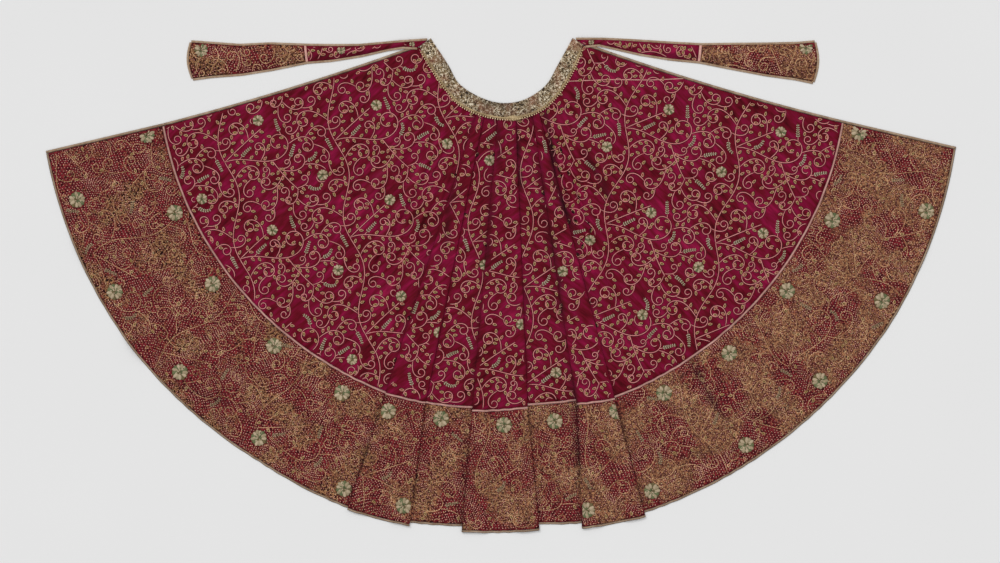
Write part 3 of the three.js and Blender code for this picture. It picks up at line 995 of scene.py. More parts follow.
class Stitches:
    """Many small raised shapes gathered into one mesh and laid on the cloth."""

    flank = 2.7  # how far the dark flank beside a thread reaches, in half widths of it: dark stitching with painted shade
    darkening = 0.6  # a stitch stands up out of a fold, so it takes this share of the cloth's painted shade
    taper = 0.45  # a thread's size at its ends

    def __init__(self, ground: Ground, shade: Callable[[Array], Array] | None = None) -> None:
        """Starts with nothing on the ground.

        Args:
            ground: The cloth.
            shade: Tells how much painted shade the cloth has; there is none where left out.
        """
        self.ground = ground
        self.shade = shade
        self.points: list[Array] = []
        self.triangles: list[Array] = []
        self.finish: list[Array] = []
        self.count = 0

    def add(self, stamp: Stamp) -> None:
        """Adds one shape, whose heights are over the cloth's face.

        Args:
            stamp: The shape.
        """
        self.points.append(stamp.points)
        self.triangles.append(stamp.triangles + self.count)
        self.finish.append(stamp.finish)
        self.count += len(stamp.points)

    def scatter(self, stamp: Stamp, places: Array, degrees: Array, sizes: Array | None = None) -> None:
        """Adds one shape at many places at once.

        Args:
            stamp: The shape.
            places: Its places in plan.
            degrees: How far each one is turned.
            sizes: How large each one is in plan.
        """
        if not len(places):
            return
        a = np.radians(degrees)[:, None]
        x, y = stamp.points[:, 0], stamp.points[:, 1]
        size = np.ones((len(places), 1)) if sizes is None else sizes[:, None]
        px = places[:, :1] + size * (x * np.cos(a) - y * np.sin(a))
        py = places[:, 1:2] + size * (x * np.sin(a) + y * np.cos(a))
        pz = np.broadcast_to(stamp.points[:, 2], px.shape)
        starts = self.count + np.arange(len(places)) * len(stamp.points)
        self.points.append(np.stack([px, py, pz], axis=-1).reshape(-1, 3))
        self.triangles.append((stamp.triangles[None] + starts[:, None, None]).reshape(-1, 3))
        self.finish.append(np.tile(stamp.finish, len(places)))
        self.count += len(places) * len(stamp.points)

    def cord(self, path: Array, width: float, rise: float, finish: int = 0, flank: int | None = None) -> None:
        """Adds a thread along a path in plan, with tapered ends.

        Args:
            path: Points in plan.
            width: The thread's width.
            rise: Its height.
            finish: The number of its finish.
            flank: The number of the finish along both its sides, if any: dark stitching with painted shade
                beside the thread.
        """
        section = ((1.0, 0.0), (0.0, rise), (-1.0, 0.0))
        finishes = (finish,) * 3
        # a dark flank of stitching and painted shade along both sides of the thread
        if flank is not None:
            low = 0.3 * rise
            section = ((self.flank, 0.0), (1.0, low), (0.0, rise), (-1.0, low), (-self.flank, 0.0))
            finishes = (flank, finish, finish, flank, flank)
        n, m = len(path), len(section)
        way = unit(np.gradient(path, axis=0))
        side = np.stack([-way[:, 1], way[:, 0]], axis=-1) * (width / 2)
        ends = np.ones(n)
        ends[0] = ends[-1] = self.taper
        rows = [np.column_stack([path + side * (x * ends)[:, None], z * ends]) for x, z in section]
        points = np.stack(rows, axis=1).reshape(-1, 3)
        i = np.arange(n - 1)[:, None] * m
        triangles = []
        for a in range(m):
            b = (a + 1) % m
            triangles.append(np.hstack([i + a, i + b, i + b + m]))
            triangles.append(np.hstack([i + a, i + b + m, i + a + m]))
        last = m * (n - 1)
        for k in range(1, m - 1):
            triangles.append(np.array([[0, k + 1, k], [last, last + k, last + k + 1]]))
        kinds = np.concatenate([np.repeat(finishes, 2 * (n - 1)), np.full(2 * (m - 2), finish)])
        self.add(Stamp(points, np.vstack(triangles), kinds))

    def motif(self, parts: Sequence[Stamp], at: Array, degrees: float, hold: Callable | None) -> None:
        """Adds a motif's parts, cut off where a fold hides them.

        Args:
            parts: The parts.
            at: The motif's place in plan.
            degrees: How far it is turned.
            hold: Moves points back over a fold's edge; nothing does where left out.
        """
        for part in parts:
            placed = part.placed(at, degrees)
            plan = placed.points[:, :2]
            if hold:
                plan = hold(plan)
            if np.ptp(plan[:, 0]) > 1.0 and not np.isnan(self.ground.top(plan)).any():
                self.add(Stamp(np.column_stack([plan, placed.points[:, 2]]), placed.triangles, placed.finish))

    def build(self, name: str, finishes: Sequence[Material], slot: Slot) -> Piece:
        """Lays the shapes on the cloth and joins them into one piece.

        Args:
            name: The piece's name.
            finishes: Its materials.
            slot: The record's slot.

        Returns:
            The piece.
        """
        points = np.vstack(self.points)
        triangles = np.vstack(self.triangles)
        finish = np.concatenate(self.finish)
        top = self.ground.top(points[:, :2])
        lost = np.isnan(top)
        if lost.any():
            top = np.where(lost, CLOTH, top)
            LOG.info("%s: %d points beside the cloth", name, int(lost.sum()))
        placed = np.column_stack([points[:, :2], points[:, 2] + top]) * MM
        mesh = bpy.data.meshes.new(name)
        mesh.vertices.add(len(placed))
        mesh.vertices.foreach_set("co", placed.astype(np.float32).ravel())
        mesh.loops.add(triangles.size)
        mesh.loops.foreach_set("vertex_index", triangles.astype(np.int32).ravel())
        mesh.polygons.add(len(triangles))
        mesh.polygons.foreach_set("loop_start", np.arange(0, triangles.size, 3, dtype=np.int32))
        mesh.polygons.foreach_set("material_index", finish.astype(np.int32))
        # stitches take a share of the cloth's painted shade, which their materials read
        dark = self.darkening * self.shade(points[:, :2]) if self.shade else np.zeros(len(points))
        set_attribute(mesh, "shade", dark)
        mesh.update(calc_edges=True)
        mesh.validate()
        return finish_piece(name, mesh, finishes, slot)


# ---- Finishes -------------------------------------------------------------------------------------
PAINTED_SHADE_COLOUR = "#1C0E10"  # the dark colour that each vertex's shade value mixes in: painted shade in the folds and along cords, tapes and the ties' feet, and other darker places


def new_finish(name: str, roughness: float, specular: float) -> tuple[Material, Tree, Node]:
    """Starts a material.

    Args:
        name: The real material and how it was made.
        roughness: How matt its surface is.
        specular: How much light its surface gives back.

    Returns:
        The material, its node tree and its shader.
    """
    material = bpy.data.materials.new(name)
    material.use_nodes = True
    tree = material.node_tree
    tree.nodes.clear()
    inputs = {"Roughness": roughness, "Specular IOR Level": specular}
    shader = add_node(tree, "ShaderNodeBsdfPrincipled", inputs)
    add_node(tree, "ShaderNodeOutputMaterial", {"Surface": shader.outputs[0]})
    return material, tree, shader


def attribute(tree: Tree, name: str) -> Socket:
    """The value of a vertex attribute."""
    return add_node(tree, "ShaderNodeAttribute", attribute_name=name).outputs["Fac"]


def object_place(tree: Tree) -> Socket:
    """The place in the part's own frame, in metres."""
    return add_node(tree, "ShaderNodeTexCoord").outputs["Object"]


def part_way(tree: Tree, share: float, a: Socket, b: Socket) -> Socket:
    """A value that lies a share of the way from one to another."""
    return add_node(tree, "ShaderNodeMix", {0: share, 2: a, 3: b}).outputs[0]


def scaled(tree: Tree, value: Socket, factor: float) -> Socket:
    """A value times a factor."""
    return add_node(tree, "ShaderNodeMath", {0: value, 1: factor}, operation="MULTIPLY").outputs[0]


def blend(tree: Tree, share: Socket, a: Socket, b: Socket | Sequence[float]) -> Socket:
    """Mixes two colours by a share."""
    return add_node(tree, "ShaderNodeMix", {0: share, 6: a, 7: b}, data_type="RGBA").outputs[2]


def ramp(tree: Tree, share: Socket, stops: dict[float, str]) -> Socket:
    """Turns a share into a colour.

    Args:
        tree: The material's node tree.
        share: The share.
        stops: Hex colours at their places.

    Returns:
        The colour.
    """
    node = add_node(tree, "ShaderNodeValToRGB", {0: share})
    band = node.color_ramp
    while len(band.elements) < len(stops):
        band.elements.new(0.5)
    for element, (place, colour) in zip(band.elements, sorted(stops.items())):
        element.position = place
        element.color = linear(colour)
    return node.outputs[0]


def span(tree: Tree, value: Socket, low: float, high: float) -> Socket:
    """A value's share of the way from low to high, held to 0 and 1."""
    values = {"Value": value, "From Min": low, "From Max": high}
    return add_node(tree, "ShaderNodeMapRange", values).outputs[0]


def cloth_map(tree: Tree, degrees: float = 0.0, stretch: float = 1.0) -> Socket:
    """The cloth's own flat map.

    Args:
        tree: The material's node tree.
        degrees: How far it is turned.
        stretch: How far patterns are drawn out along its first axis.

    Returns:
        The place on the cloth, in metres.
    """
    uv = add_node(tree, "ShaderNodeUVMap", uv_map="cloth")
    turn = (0.0, 0.0, math.radians(degrees))
    inputs = {"Vector": uv.outputs[0], "Rotation": turn, "Scale": (stretch, 1.0, 1.0)}
    return add_node(tree, "ShaderNodeMapping", inputs, vector_type="TEXTURE").outputs[0]


def noise(tree: Tree, place: Socket, size: float, detail: float = 2.0, bend: float = 0.0) -> Socket:
    """Soft cloudy noise whose features are about a size in millimetres."""
    inputs = {"Vector": place, "Scale": 1000 / size, "Detail": detail, "Roughness": 0.6, "Distortion": bend}
    return add_node(tree, "ShaderNodeTexNoise", inputs).outputs[0]


def paint(tree: Tree, shader: Node, colour: Socket) -> None:
    """Gives a shader its colour, mixed towards a dark colour by each vertex's shade value: painted shade in
    the folds and along edges, and other darker places.
    """
    folded = blend(tree, attribute(tree, "shade"), colour, linear(PAINTED_SHADE_COLOUR))
    tree.links.new(folded, shader.inputs["Base Color"])


def relief(tree: Tree, shader: Node, height: Socket, depth: float) -> None:
    """Raises a shader's surface by a height of 0 to 1 times a depth in millimetres."""
    bump = add_node(tree, "ShaderNodeBump", {"Height": height, "Distance": depth * MM, "Strength": 1.0})
    tree.links.new(bump.outputs[0], shader.inputs["Normal"])


@dataclass(frozen=True)
class Satin:
    """Silk satin, woven: long floats give it a soft streaky lustre, and its dye has gone patchy."""

    name: str = "silk_satin_woven_crimson"
    deep: str = "#40030A"
    ground: str = "#660A1D"
    cool: str = "#7A0C33"
    bright: str = "#961441"
    sheen: str = "#F0A0B4"
    streak: tuple[float, float, float] = (34, 4.5, 13)  # its lean, how far it is drawn out, and its size
    patch: float = 120
    patch_share: float = 0.36

    def material(self) -> Material:
        """Builds the satin.

        Returns:
            The material.
        """
        material, tree, shader = new_finish(self.name, 0.5, 0.06)
        lean, stretch, size = self.streak
        streaks = noise(tree, cloth_map(tree, lean, stretch), size, 2.5)
        patches = noise(tree, cloth_map(tree), self.patch, 2.0)
        share = part_way(tree, self.patch_share, streaks, patches)
        stops = {0.33: self.deep, 0.47: self.ground, 0.57: self.cool, 0.68: self.bright}
        paint(tree, shader, ramp(tree, share, stops))
        # The floats are 0.15 mm apart, which is too fine to show, so they are drawn 2 mm apart.
        floats = noise(tree, cloth_map(tree, 90, 12.0), 2.0, 1.0)
        relief(tree, shader, floats, 0.15)
        tangent = add_node(tree, "ShaderNodeTangent", direction_type="UV_MAP", uv_map="cloth")
        tree.links.new(tangent.outputs[0], shader.inputs["Tangent"])
        shader.inputs["Anisotropic"].default_value = 0.5
        shader.inputs["Sheen Weight"].default_value = 0.02
        shader.inputs["Sheen Roughness"].default_value = 0.4
        shader.inputs["Sheen Tint"].default_value = linear(self.sheen)
        return material


@dataclass(frozen=True)
class Darned:
    """Satin darned all over: meandering tarnished thread, denser in some patches than in others."""

    name: str = "satin_darned_with_tarnished_thread"
    dark: str = "#160606"
    brown: str = "#401814"
    olive: str = "#B08056"
    wine: str = "#30080C"
    crimson: str = "#86262E"
    paler: str = "#C07864"
    stitch: float = 4.6
    ragged: float = 16
    ragged_share: float = 0.55
    paler_across: tuple[float, float] = (-0.8, 0.3)  # metres across the cape
    paling: float = 0.12

    def material(self) -> Material:
        """Builds the darned satin.

        Returns:
            The material.
        """
        material, tree, shader = new_finish(self.name, 0.65, 0.08)
        flat = cloth_map(tree)
        squiggles = noise(tree, flat, self.stitch, 2.0, 1.2)
        worked = ramp(tree, squiggles, {0.42: self.dark, 0.5: self.brown, 0.6: self.olive})
        bare = ramp(tree, squiggles, {0.42: self.wine, 0.58: self.crimson})
        close = attribute(tree, "darned")
        patches = part_way(tree, self.ragged_share, close, noise(tree, flat, self.ragged, 3.0))
        # The worked thread is paler on the right side of the cape than on the left.
        across = add_node(tree, "ShaderNodeSeparateXYZ", {0: object_place(tree)}).outputs[0]
        paling = scaled(tree, span(tree, across, *self.paler_across), self.paling)
        worked = blend(tree, paling, worked, linear(self.paler))
        paint(tree, shader, blend(tree, span(tree, patches, 0.28, 0.72), bare, worked))
        relief(tree, shader, squiggles, 1.3)
        return material


@dataclass(frozen=True)
class Thread:
    """Twisted silk or metal thread laid by hand: uneven dye, a soft gleam and a fine grain."""

    name: str
    colour: str
    other: str
    roughness: float = 0.55
    broad: float = 45
    fine: float = 5
    grain: float = 1.2

    def material(self) -> Material:
        """Builds the thread.

        Returns:
            The material.
        """
        material, tree, shader = new_finish(self.name, self.roughness, 0.2)
        place = object_place(tree)
        share = part_way(tree, 0.5, noise(tree, place, self.broad), noise(tree, place, self.fine))
        paint(tree, shader, ramp(tree, share, {0.38: self.colour, 0.62: self.other}))
        relief(tree, shader, noise(tree, place, self.grain, 1.0), 0.2)
        return material


@dataclass(frozen=True)
class Brocade:
    """Silk brocade woven with gilt strips, worn and tarnished: small broken motifs on a dark ground."""

    name: str = "gilt_brocade_woven_worn"
    dark: str = "#2A2016"
    olive: str = "#6E5C42"
    gold: str = "#B0946C"
    pale: str = "#F2E4CA"
    rose: str = "#96604A"
    motif: float = 4.8
    wear_and_shade: tuple[float, float] = (30, 0.6)  # size of the worn places and how much of them shows
    dull: tuple[float, float] = (90, 0.45)

    def material(self) -> Material:
        """Builds the brocade.

        Returns:
            The material.
        """
        material, tree, shader = new_finish(self.name, 0.5, 0.15)
        flat = cloth_map(tree)
        motifs = noise(tree, flat, self.motif, 2.5, 1.2)
        stops = {0.42: self.dark, 0.46: self.olive, 0.51: self.gold, 0.55: self.olive, 0.59: self.pale}
        wear_and_shade = span(tree, noise(tree, flat, self.wear_and_shade[0], 3.0), 0.46, 0.7)
        colour = blend(tree, scaled(tree, wear_and_shade, self.wear_and_shade[1]), ramp(tree, motifs, stops), linear(self.rose))
        dull = span(tree, noise(tree, flat, self.dull[0], 1.0), 0.48, 0.62)
        paint(tree, shader, blend(tree, scaled(tree, dull, self.dull[1]), colour, linear(self.dark)))
        relief(tree, shader, motifs, 0.8)
        return material


@dataclass(frozen=True)
class Backdrop:
    """Matt studio paper: plain, with no gloss."""

    name: str = "matt_studio_paper"
    colour: str = "#EEEEEE"
    other: str = "#EDEDED"

    def material(self) -> Material:
        """Builds the paper.

        Returns:
            The material.
        """
        material, tree, shader = new_finish(self.name, 0.9, 0.1)
        grain = ramp(tree, noise(tree, object_place(tree), 400, 1.0), {0.3: self.colour, 0.7: self.other})
        tree.links.new(grain, shader.inputs["Base Color"])
        return material


class Finishes:
    """Every finish of the cape, each made once."""

    def __init__(self) -> None:
        """Builds the materials."""
        self.satin = Satin().material()
        self.darned = Darned().material()
        self.brocade = Brocade().material()
        self.vine = Thread("silk_thread_couched_salmon", "#DC8C8A", "#C67472", 0.6).material()
        # painted shadow under the leaves and painted shade beside the vine's cords, which are partly dark
        # stitching; also the dark marks on the neck band
        self.shadow = Thread("plum_thread_and_painted_shadow", "#3C0C14", "#34140E", 0.7).material()
        self.leaf = Thread("silk_thread_satin_stitch_olive", "#665028", "#786232", 0.6).material()
        self.leaf_pale = Thread("silk_thread_satin_stitch_peach", "#8C4238", "#744034", 0.6).material()
        self.leaf_rim = Thread("silk_thread_couched_rose_gold", "#DCA08C", "#C0986C", 0.6).material()
        self.spray = Thread("silk_thread_satin_stitch_sage", "#CAC6AC", "#B0A888", 0.6).material()
        self.spray_shade = Thread("silk_thread_stitched_dark_green", "#3A3420", "#43301E", 0.7).material()
        self.petal = Thread("silk_floss_satin_stitch_sage", "#968668", "#A8967A", 0.65).material()
        self.petal_green = Thread("silk_floss_satin_stitch_green", "#5A6442", "#6E724E", 0.65).material()
        self.petal_cream = Thread("silk_floss_satin_stitch_cream", "#AC9A7E", "#C2AE92", 0.65).material()
        self.foot = Thread("silk_floss_ground_stitch_moss", "#62583C", "#74643F", 0.65).material()
        self.cell = Thread("silk_satin_left_bare_crimson", "#7A182A", "#5C101E", 0.6).material()
        self.dot = Thread("silk_thread_knotted_pink", "#ECBCA4", "#D29C82", 0.6).material()
        self.gold = Thread("gilt_thread_couched_old_gold", "#DCA47C", "#84523C", 0.6).material()
        self.gilt = Thread("gilt_thread_couched_pale_gold", "#E8BC90", "#9C7048", 0.6).material()
        self.braid = Thread("gilt_thread_plaited_pale_gold", "#CDB48A", "#8E7654", 0.5).material()
        self.bead = Thread("gilt_thread_looped_cream", "#F0DCB0", "#D8BC8C", 0.5).material()
        self.piping = Thread("silk_cord_twisted_pale_pink", "#E0ACA0", "#BC8A7E", 0.65).material()
        self.tape = Thread("silk_tape_folded_beige", "#B49C84", "#94785E", 0.6).material()


# ---- The vine's repeat ---------------------------------------------------------------------------
STEP = 4.4
ACROSS = (258.0, 10.0)
ALONG = (0.0, 226.0)
LEAF = (11.6, 5.8)
LEAF_STALK = 2.8
SPRAY_LENGTH = 31.0


@dataclass(frozen=True)
class Shoot:
    """A stem that leaves its parent, turns away from it, arches and then curls up at its tip."""

    parent: int
    at: float
    turn: float
    length: float
    arch: float = 0.0
    curl: float = 0.0
    late: float = 2.4

    def path(self, start: Array, heading: float) -> tuple[Array, Array]:
        """Points in plan and headings in degrees along the shoot.

        Args:
            start: Where it leaves its stem.
            heading: Its stem's heading there.

        Returns:
            The points, and a heading for each of them.
        """
        count = max(5, round(self.length / STEP))
        t = np.linspace(0, 1, count + 1) ** 0.75
        headings = heading + self.turn + self.arch * t + self.curl * t**self.late
        a = np.radians((headings[1:] + headings[:-1]) / 2)
        steps = np.stack([np.cos(a), np.sin(a)], axis=-1) * self.length * np.diff(t)[:, None]
        return np.vstack([start, start + np.cumsum(steps, axis=0)]), headings


# The stems that carry the repeat: parent, share along it, turn (+ is to the left), length, arch, curl
MAIN_SHOOTS = (
    Shoot(0, 0.0, -74, 114, -4),
    Shoot(0, 0.0, -96, 262, -200, 580),
    Shoot(2, 0.32, -66, 92, 14),
    Shoot(0, 0.22, 52, 150, 0, 450),
    Shoot(3, 0.96, -50, 84, -10, -400),
    Shoot(3, 0.9, 56, 74, 10, 420),
)
ROSETTE_STEM = 1
ROSETTE_ROOM = (13.0, 17.0)  # how far past its stem's tip a rosette sits, and the room it needs
SCROLLS = ((132, 140), (112, 200), (96, 300), (82, 400), (70, 500))  # length, tries
LATE_SCROLLS = (62, 260)  # the same for those that fill in after the sprays
SCROLL_CLEAR = 9.0
SCROLL_TURNS = (38, 66)  # how far a scroll's heading turns from its stem's
SCROLL_CURLS = (420, 480)  # degrees that it curls through
SCROLL_SAME = 0.7  # the share of scrolls that curl to the side on which they leave
SCROLL_ARCH = 20
SCROLL_LATE = (2.0, 2.5)
SCROLL_LENGTHS = (0.95, 1.08)
FORKS = (0.06, 0.86)  # the part of a stem that others leave from
RISER = (15.0, 3.6, 47)  # how far the repeat's riser sways, its phase and its points
SPRAYS = 7
SPRAY_TRIES = 900
SPRAY_STALK = 9.0
SPRAY_TURNS = (38, 75)
SPRAY_CLEAR = 7.0
SPRAY_PROBES = 9
STEM_CLEAR = 2.6
LEAF_SPACING = 16.0
LEAF_LEAN = 52.0
LEAF_STEM = 8  # a stem with more points than this bears leaves
LEAF_PROBES = np.array([[6.0], [9.0], [LEAF[0] + 1.5]])  # how far along a leaf its room is tried
LEAF_TAKES = np.array([[4.0], [8.0], [12.0]])  # and taken
LEAF_CLEAR = 5.5
LEAF_ENDS = (9.0, 6.0)  # how far from a stem's start and its tip leaves keep


class Worked:
    """Which places of the repeat are already worked. It wraps round at the repeat's sides."""

    cell = 1.5

    def __init__(self) -> None:
        """Starts with bare cloth."""
        basis = np.array([ACROSS, ALONG])
        self.inverse = np.linalg.inv(basis)
        self.shape = np.array([round(np.linalg.norm(v) / self.cell) for v in basis])
        self.taken = np.zeros(self.shape, bool)

    def _cells(self, points: Array) -> tuple[Array, Array]:
        """The cells under points in plan."""
        at = ((points @ self.inverse) % 1.0 * self.shape).astype(int) % self.shape
        return at[..., 0].ravel(), at[..., 1].ravel()

    def mark(self, points: Array, radius: float) -> None:
        """Takes the cells within a radius of points.

        Args:
            points: Points in plan.
            radius: The radius.
        """
        reach = np.arange(-radius, radius + self.cell, self.cell)
        x, y = np.meshgrid(reach, reach)
        near = np.column_stack([x.ravel(), y.ravel()])[np.hypot(x, y).ravel() <= radius]
        self.taken[self._cells(points[:, None] + near[None])] = True

    def free(self, points: Array) -> bool:
        """Whether no cell under the points is taken."""
        return not self.taken[self._cells(points)].any()


@dataclass
class Vine:
    """The stems of one repeat of the vine, with its leaves and sprays, from the fork at the origin."""

    stems: list[Array] = field(default_factory=list)
    ways: list[Array] = field(default_factory=list)
    leaves: list[tuple[float, float, float]] = field(default_factory=list)
    sprays: list[tuple[float, float, float]] = field(default_factory=list)

    def grown(self) -> "Vine":
        """Grows the riser and the main shoots, then fills what is left with scrolls, sprays and leaves.

        Returns:
            The vine itself.
        """
        draw = np.random.default_rng(SEED)
        worked = Worked()
        sway, phase, count = RISER
        t = np.linspace(0, 1, count)
        across = sway * (np.sin(2 * math.pi * t + phase) - math.sin(phase))
        riser = np.stack([across, ALONG[1] * t], axis=-1)
        way = np.gradient(riser, axis=0)
        self._keep(riser, np.degrees(np.arctan2(way[:, 1], way[:, 0])), worked)
        for shoot in MAIN_SHOOTS:
            stem, ways = self.stems[shoot.parent], self.ways[shoot.parent]
            at = round(shoot.at * (len(stem) - 1))
            self._keep(*shoot.path(stem[at], ways[at]), worked)
        worked.mark(self.rosette[None], ROSETTE_ROOM[1])
        for length, tries in SCROLLS:
            for _ in range(tries):
                self._scroll(draw, worked, length)
        for _ in range(SPRAY_TRIES):
            if len(self.sprays) < SPRAYS:
                self._spray(draw, worked)
        length, tries = LATE_SCROLLS
        for _ in range(tries):
            self._scroll(draw, worked, length)
        self._leaf_out()
        return self

    @property
    def rosette(self) -> Array:
        """Where the repeat's rosette sits."""
        return self.stems[ROSETTE_STEM][-1] + toward(self.ways[ROSETTE_STEM][-1], ROSETTE_ROOM[0])

    def _keep(self, path: Array, headings: Array, worked: Worked) -> None:
        """Keeps a stem, and takes the room that it needs.

        Args:
            path: The stem's points in plan.
            headings: A heading for each point.
            worked: The room taken so far.
        """
        self.stems.append(path)
        self.ways.append(headings)
        worked.mark(path, SCROLL_CLEAR)

    def _start(self, draw: np.random.Generator, turns: tuple[float, float]) -> tuple[Array, float, int]:
        """A place on a stem, a heading away from it and the side that it is on.

        Args:
            draw: The source of random draws.
            turns: The least and the most that the heading turns away.

        Returns:
            The place, the heading, and 1 on the stem's left or -1 on its right.
        """
        parent = int(draw.integers(len(self.stems)))
        at = int(draw.uniform(*FORKS) * (len(self.stems[parent]) - 1))
        side = 1 if draw.random() < 0.5 else -1
        return self.stems[parent][at], self.ways[parent][at] + side * draw.uniform(*turns), side

    def _scroll(self, draw: np.random.Generator, worked: Worked, length: float) -> None:
        """Tries one scroll of a length somewhere on the vine.

        Args:
            draw: The source of random draws.
            worked: The room taken so far.
            length: The length.
        """
        start, heading, side = self._start(draw, SCROLL_TURNS)
        curl = side * draw.uniform(*SCROLL_CURLS) * (1 if draw.random() < SCROLL_SAME else -1)
        length *= draw.uniform(*SCROLL_LENGTHS)
        shoot = Shoot(0, 0, 0, length, side * SCROLL_ARCH, curl, draw.uniform(*SCROLL_LATE))
        path, headings = shoot.path(start, heading)
        if worked.free(path[4:]):
            self._keep(path, headings, worked)

    def _spray(self, draw: np.random.Generator, worked: Worked) -> None:
        """Tries one spray on a short stalk somewhere on the vine.

        Args:
            draw: The source of random draws.
            worked: The room taken so far.
        """
        start, heading, _ = self._start(draw, SPRAY_TURNS)
        way = toward(heading)
        ends = SPRAY_STALK + 3, SPRAY_STALK + SPRAY_LENGTH - 1
        body = start + way * np.linspace(*ends, SPRAY_PROBES)[:, None]
        if worked.free(body):
            worked.mark(body, SCROLL_CLEAR)
            self.stems.append(start + way * np.linspace(0, SPRAY_STALK, 4)[:, None])
            self.ways.append(np.full(4, heading))
            self.sprays.append((*(start + way * SPRAY_STALK), heading))

    def _leaf_out(self) -> None:
        """Sets leaves along the stems on alternate sides, where there is room."""
        worked = Worked()
        worked.mark(self.rosette[None], ROSETTE_ROOM[1])
        for path in self.stems:
            worked.mark(path, STEM_CLEAR)
        for x, y, heading in self.sprays:
            body = np.array([x, y]) + toward(heading) * np.linspace(0, SPRAY_LENGTH, SPRAY_PROBES)[:, None]
            worked.mark(body, SPRAY_CLEAR)
        for path, ways in zip(self.stems, self.ways):
            along = np.concatenate([[0], np.cumsum(np.linalg.norm(np.diff(path, axis=0), axis=1))])
            places = np.arange(LEAF_ENDS[0], along[-1] - LEAF_ENDS[1], LEAF_SPACING)
            for number, place in enumerate(places):
                base = np.array([np.interp(place, along, path[:, k]) for k in (0, 1)])
                heading = float(np.interp(place, along, ways))
                sides = (1, -1) if number % 4 == 1 else (1 if number % 2 else -1,)
                for side in sides:
                    self._leaf(base, heading, side, worked)
            if len(path) > LEAF_STEM and path is not self.stems[ROSETTE_STEM]:
                self._leaf(path[-1], ways[-1], 0, worked)

    def _leaf(self, base: Array, heading: float, side: int, worked: Worked) -> None:
        """Adds a leaf beside a stem, or at its tip, if its blade has room.

        Args:
            base: The leaf's foot in plan.
            heading: The stem's heading there.
            side: 1 on the left, -1 on the right, or 0 at the tip.
            worked: The room taken so far.
        """
        lean = heading + side * LEAF_LEAN
        way = toward(lean)
        if worked.free(base + way * LEAF_PROBES):
            worked.mark(base + way * LEAF_TAKES, LEAF_CLEAR)
            self.leaves.append((*(base + way * LEAF_STALK), lean))


def spray_stamp(stem: int, leaflet: int, dark: int, bend: float) -> Stamp:
    """A feathery spray of paired leaflets on a dark stitched foot, from the origin.

    Args:
        stem: The finish of its stem.
        leaflet: The finish of its leaflets.
        dark: The finish of the foot.
        bend: How far it curves over to the left along its length, in degrees.

    Returns:
        The spray, which sets out along +X.
    """
    shares = np.linspace(0, 1, 7)
    ways = np.radians(bend * (shares[1:] + shares[:-1]) / 2)
    steps = np.stack([np.cos(ways), np.sin(ways)], axis=-1) * SPRAY_LENGTH / len(ways)
    starts = np.vstack([(0, 0), np.cumsum(steps, axis=0)])[:-1]
    parts = []
    for pair, (start, way) in enumerate(zip(starts, np.degrees(ways))):
        under = pad_stamp(SPRAY_LENGTH / 5, 6.6 - 0.5 * pair, 0.3, 6, dark, 0.8)
        middle = pad_stamp(SPRAY_LENGTH / 5, 1.3, 0.8, 4, stem, 0.5)
        blade = pad_stamp(6.8 - 0.4 * pair, 2.5, 0.9, 5, leaflet)
        parts += [under.placed(start, way), middle.placed(start, way)]
        parts += [blade.placed(start, way + lean) for lean in (48, -48)]
    return Stamp.joined(parts)


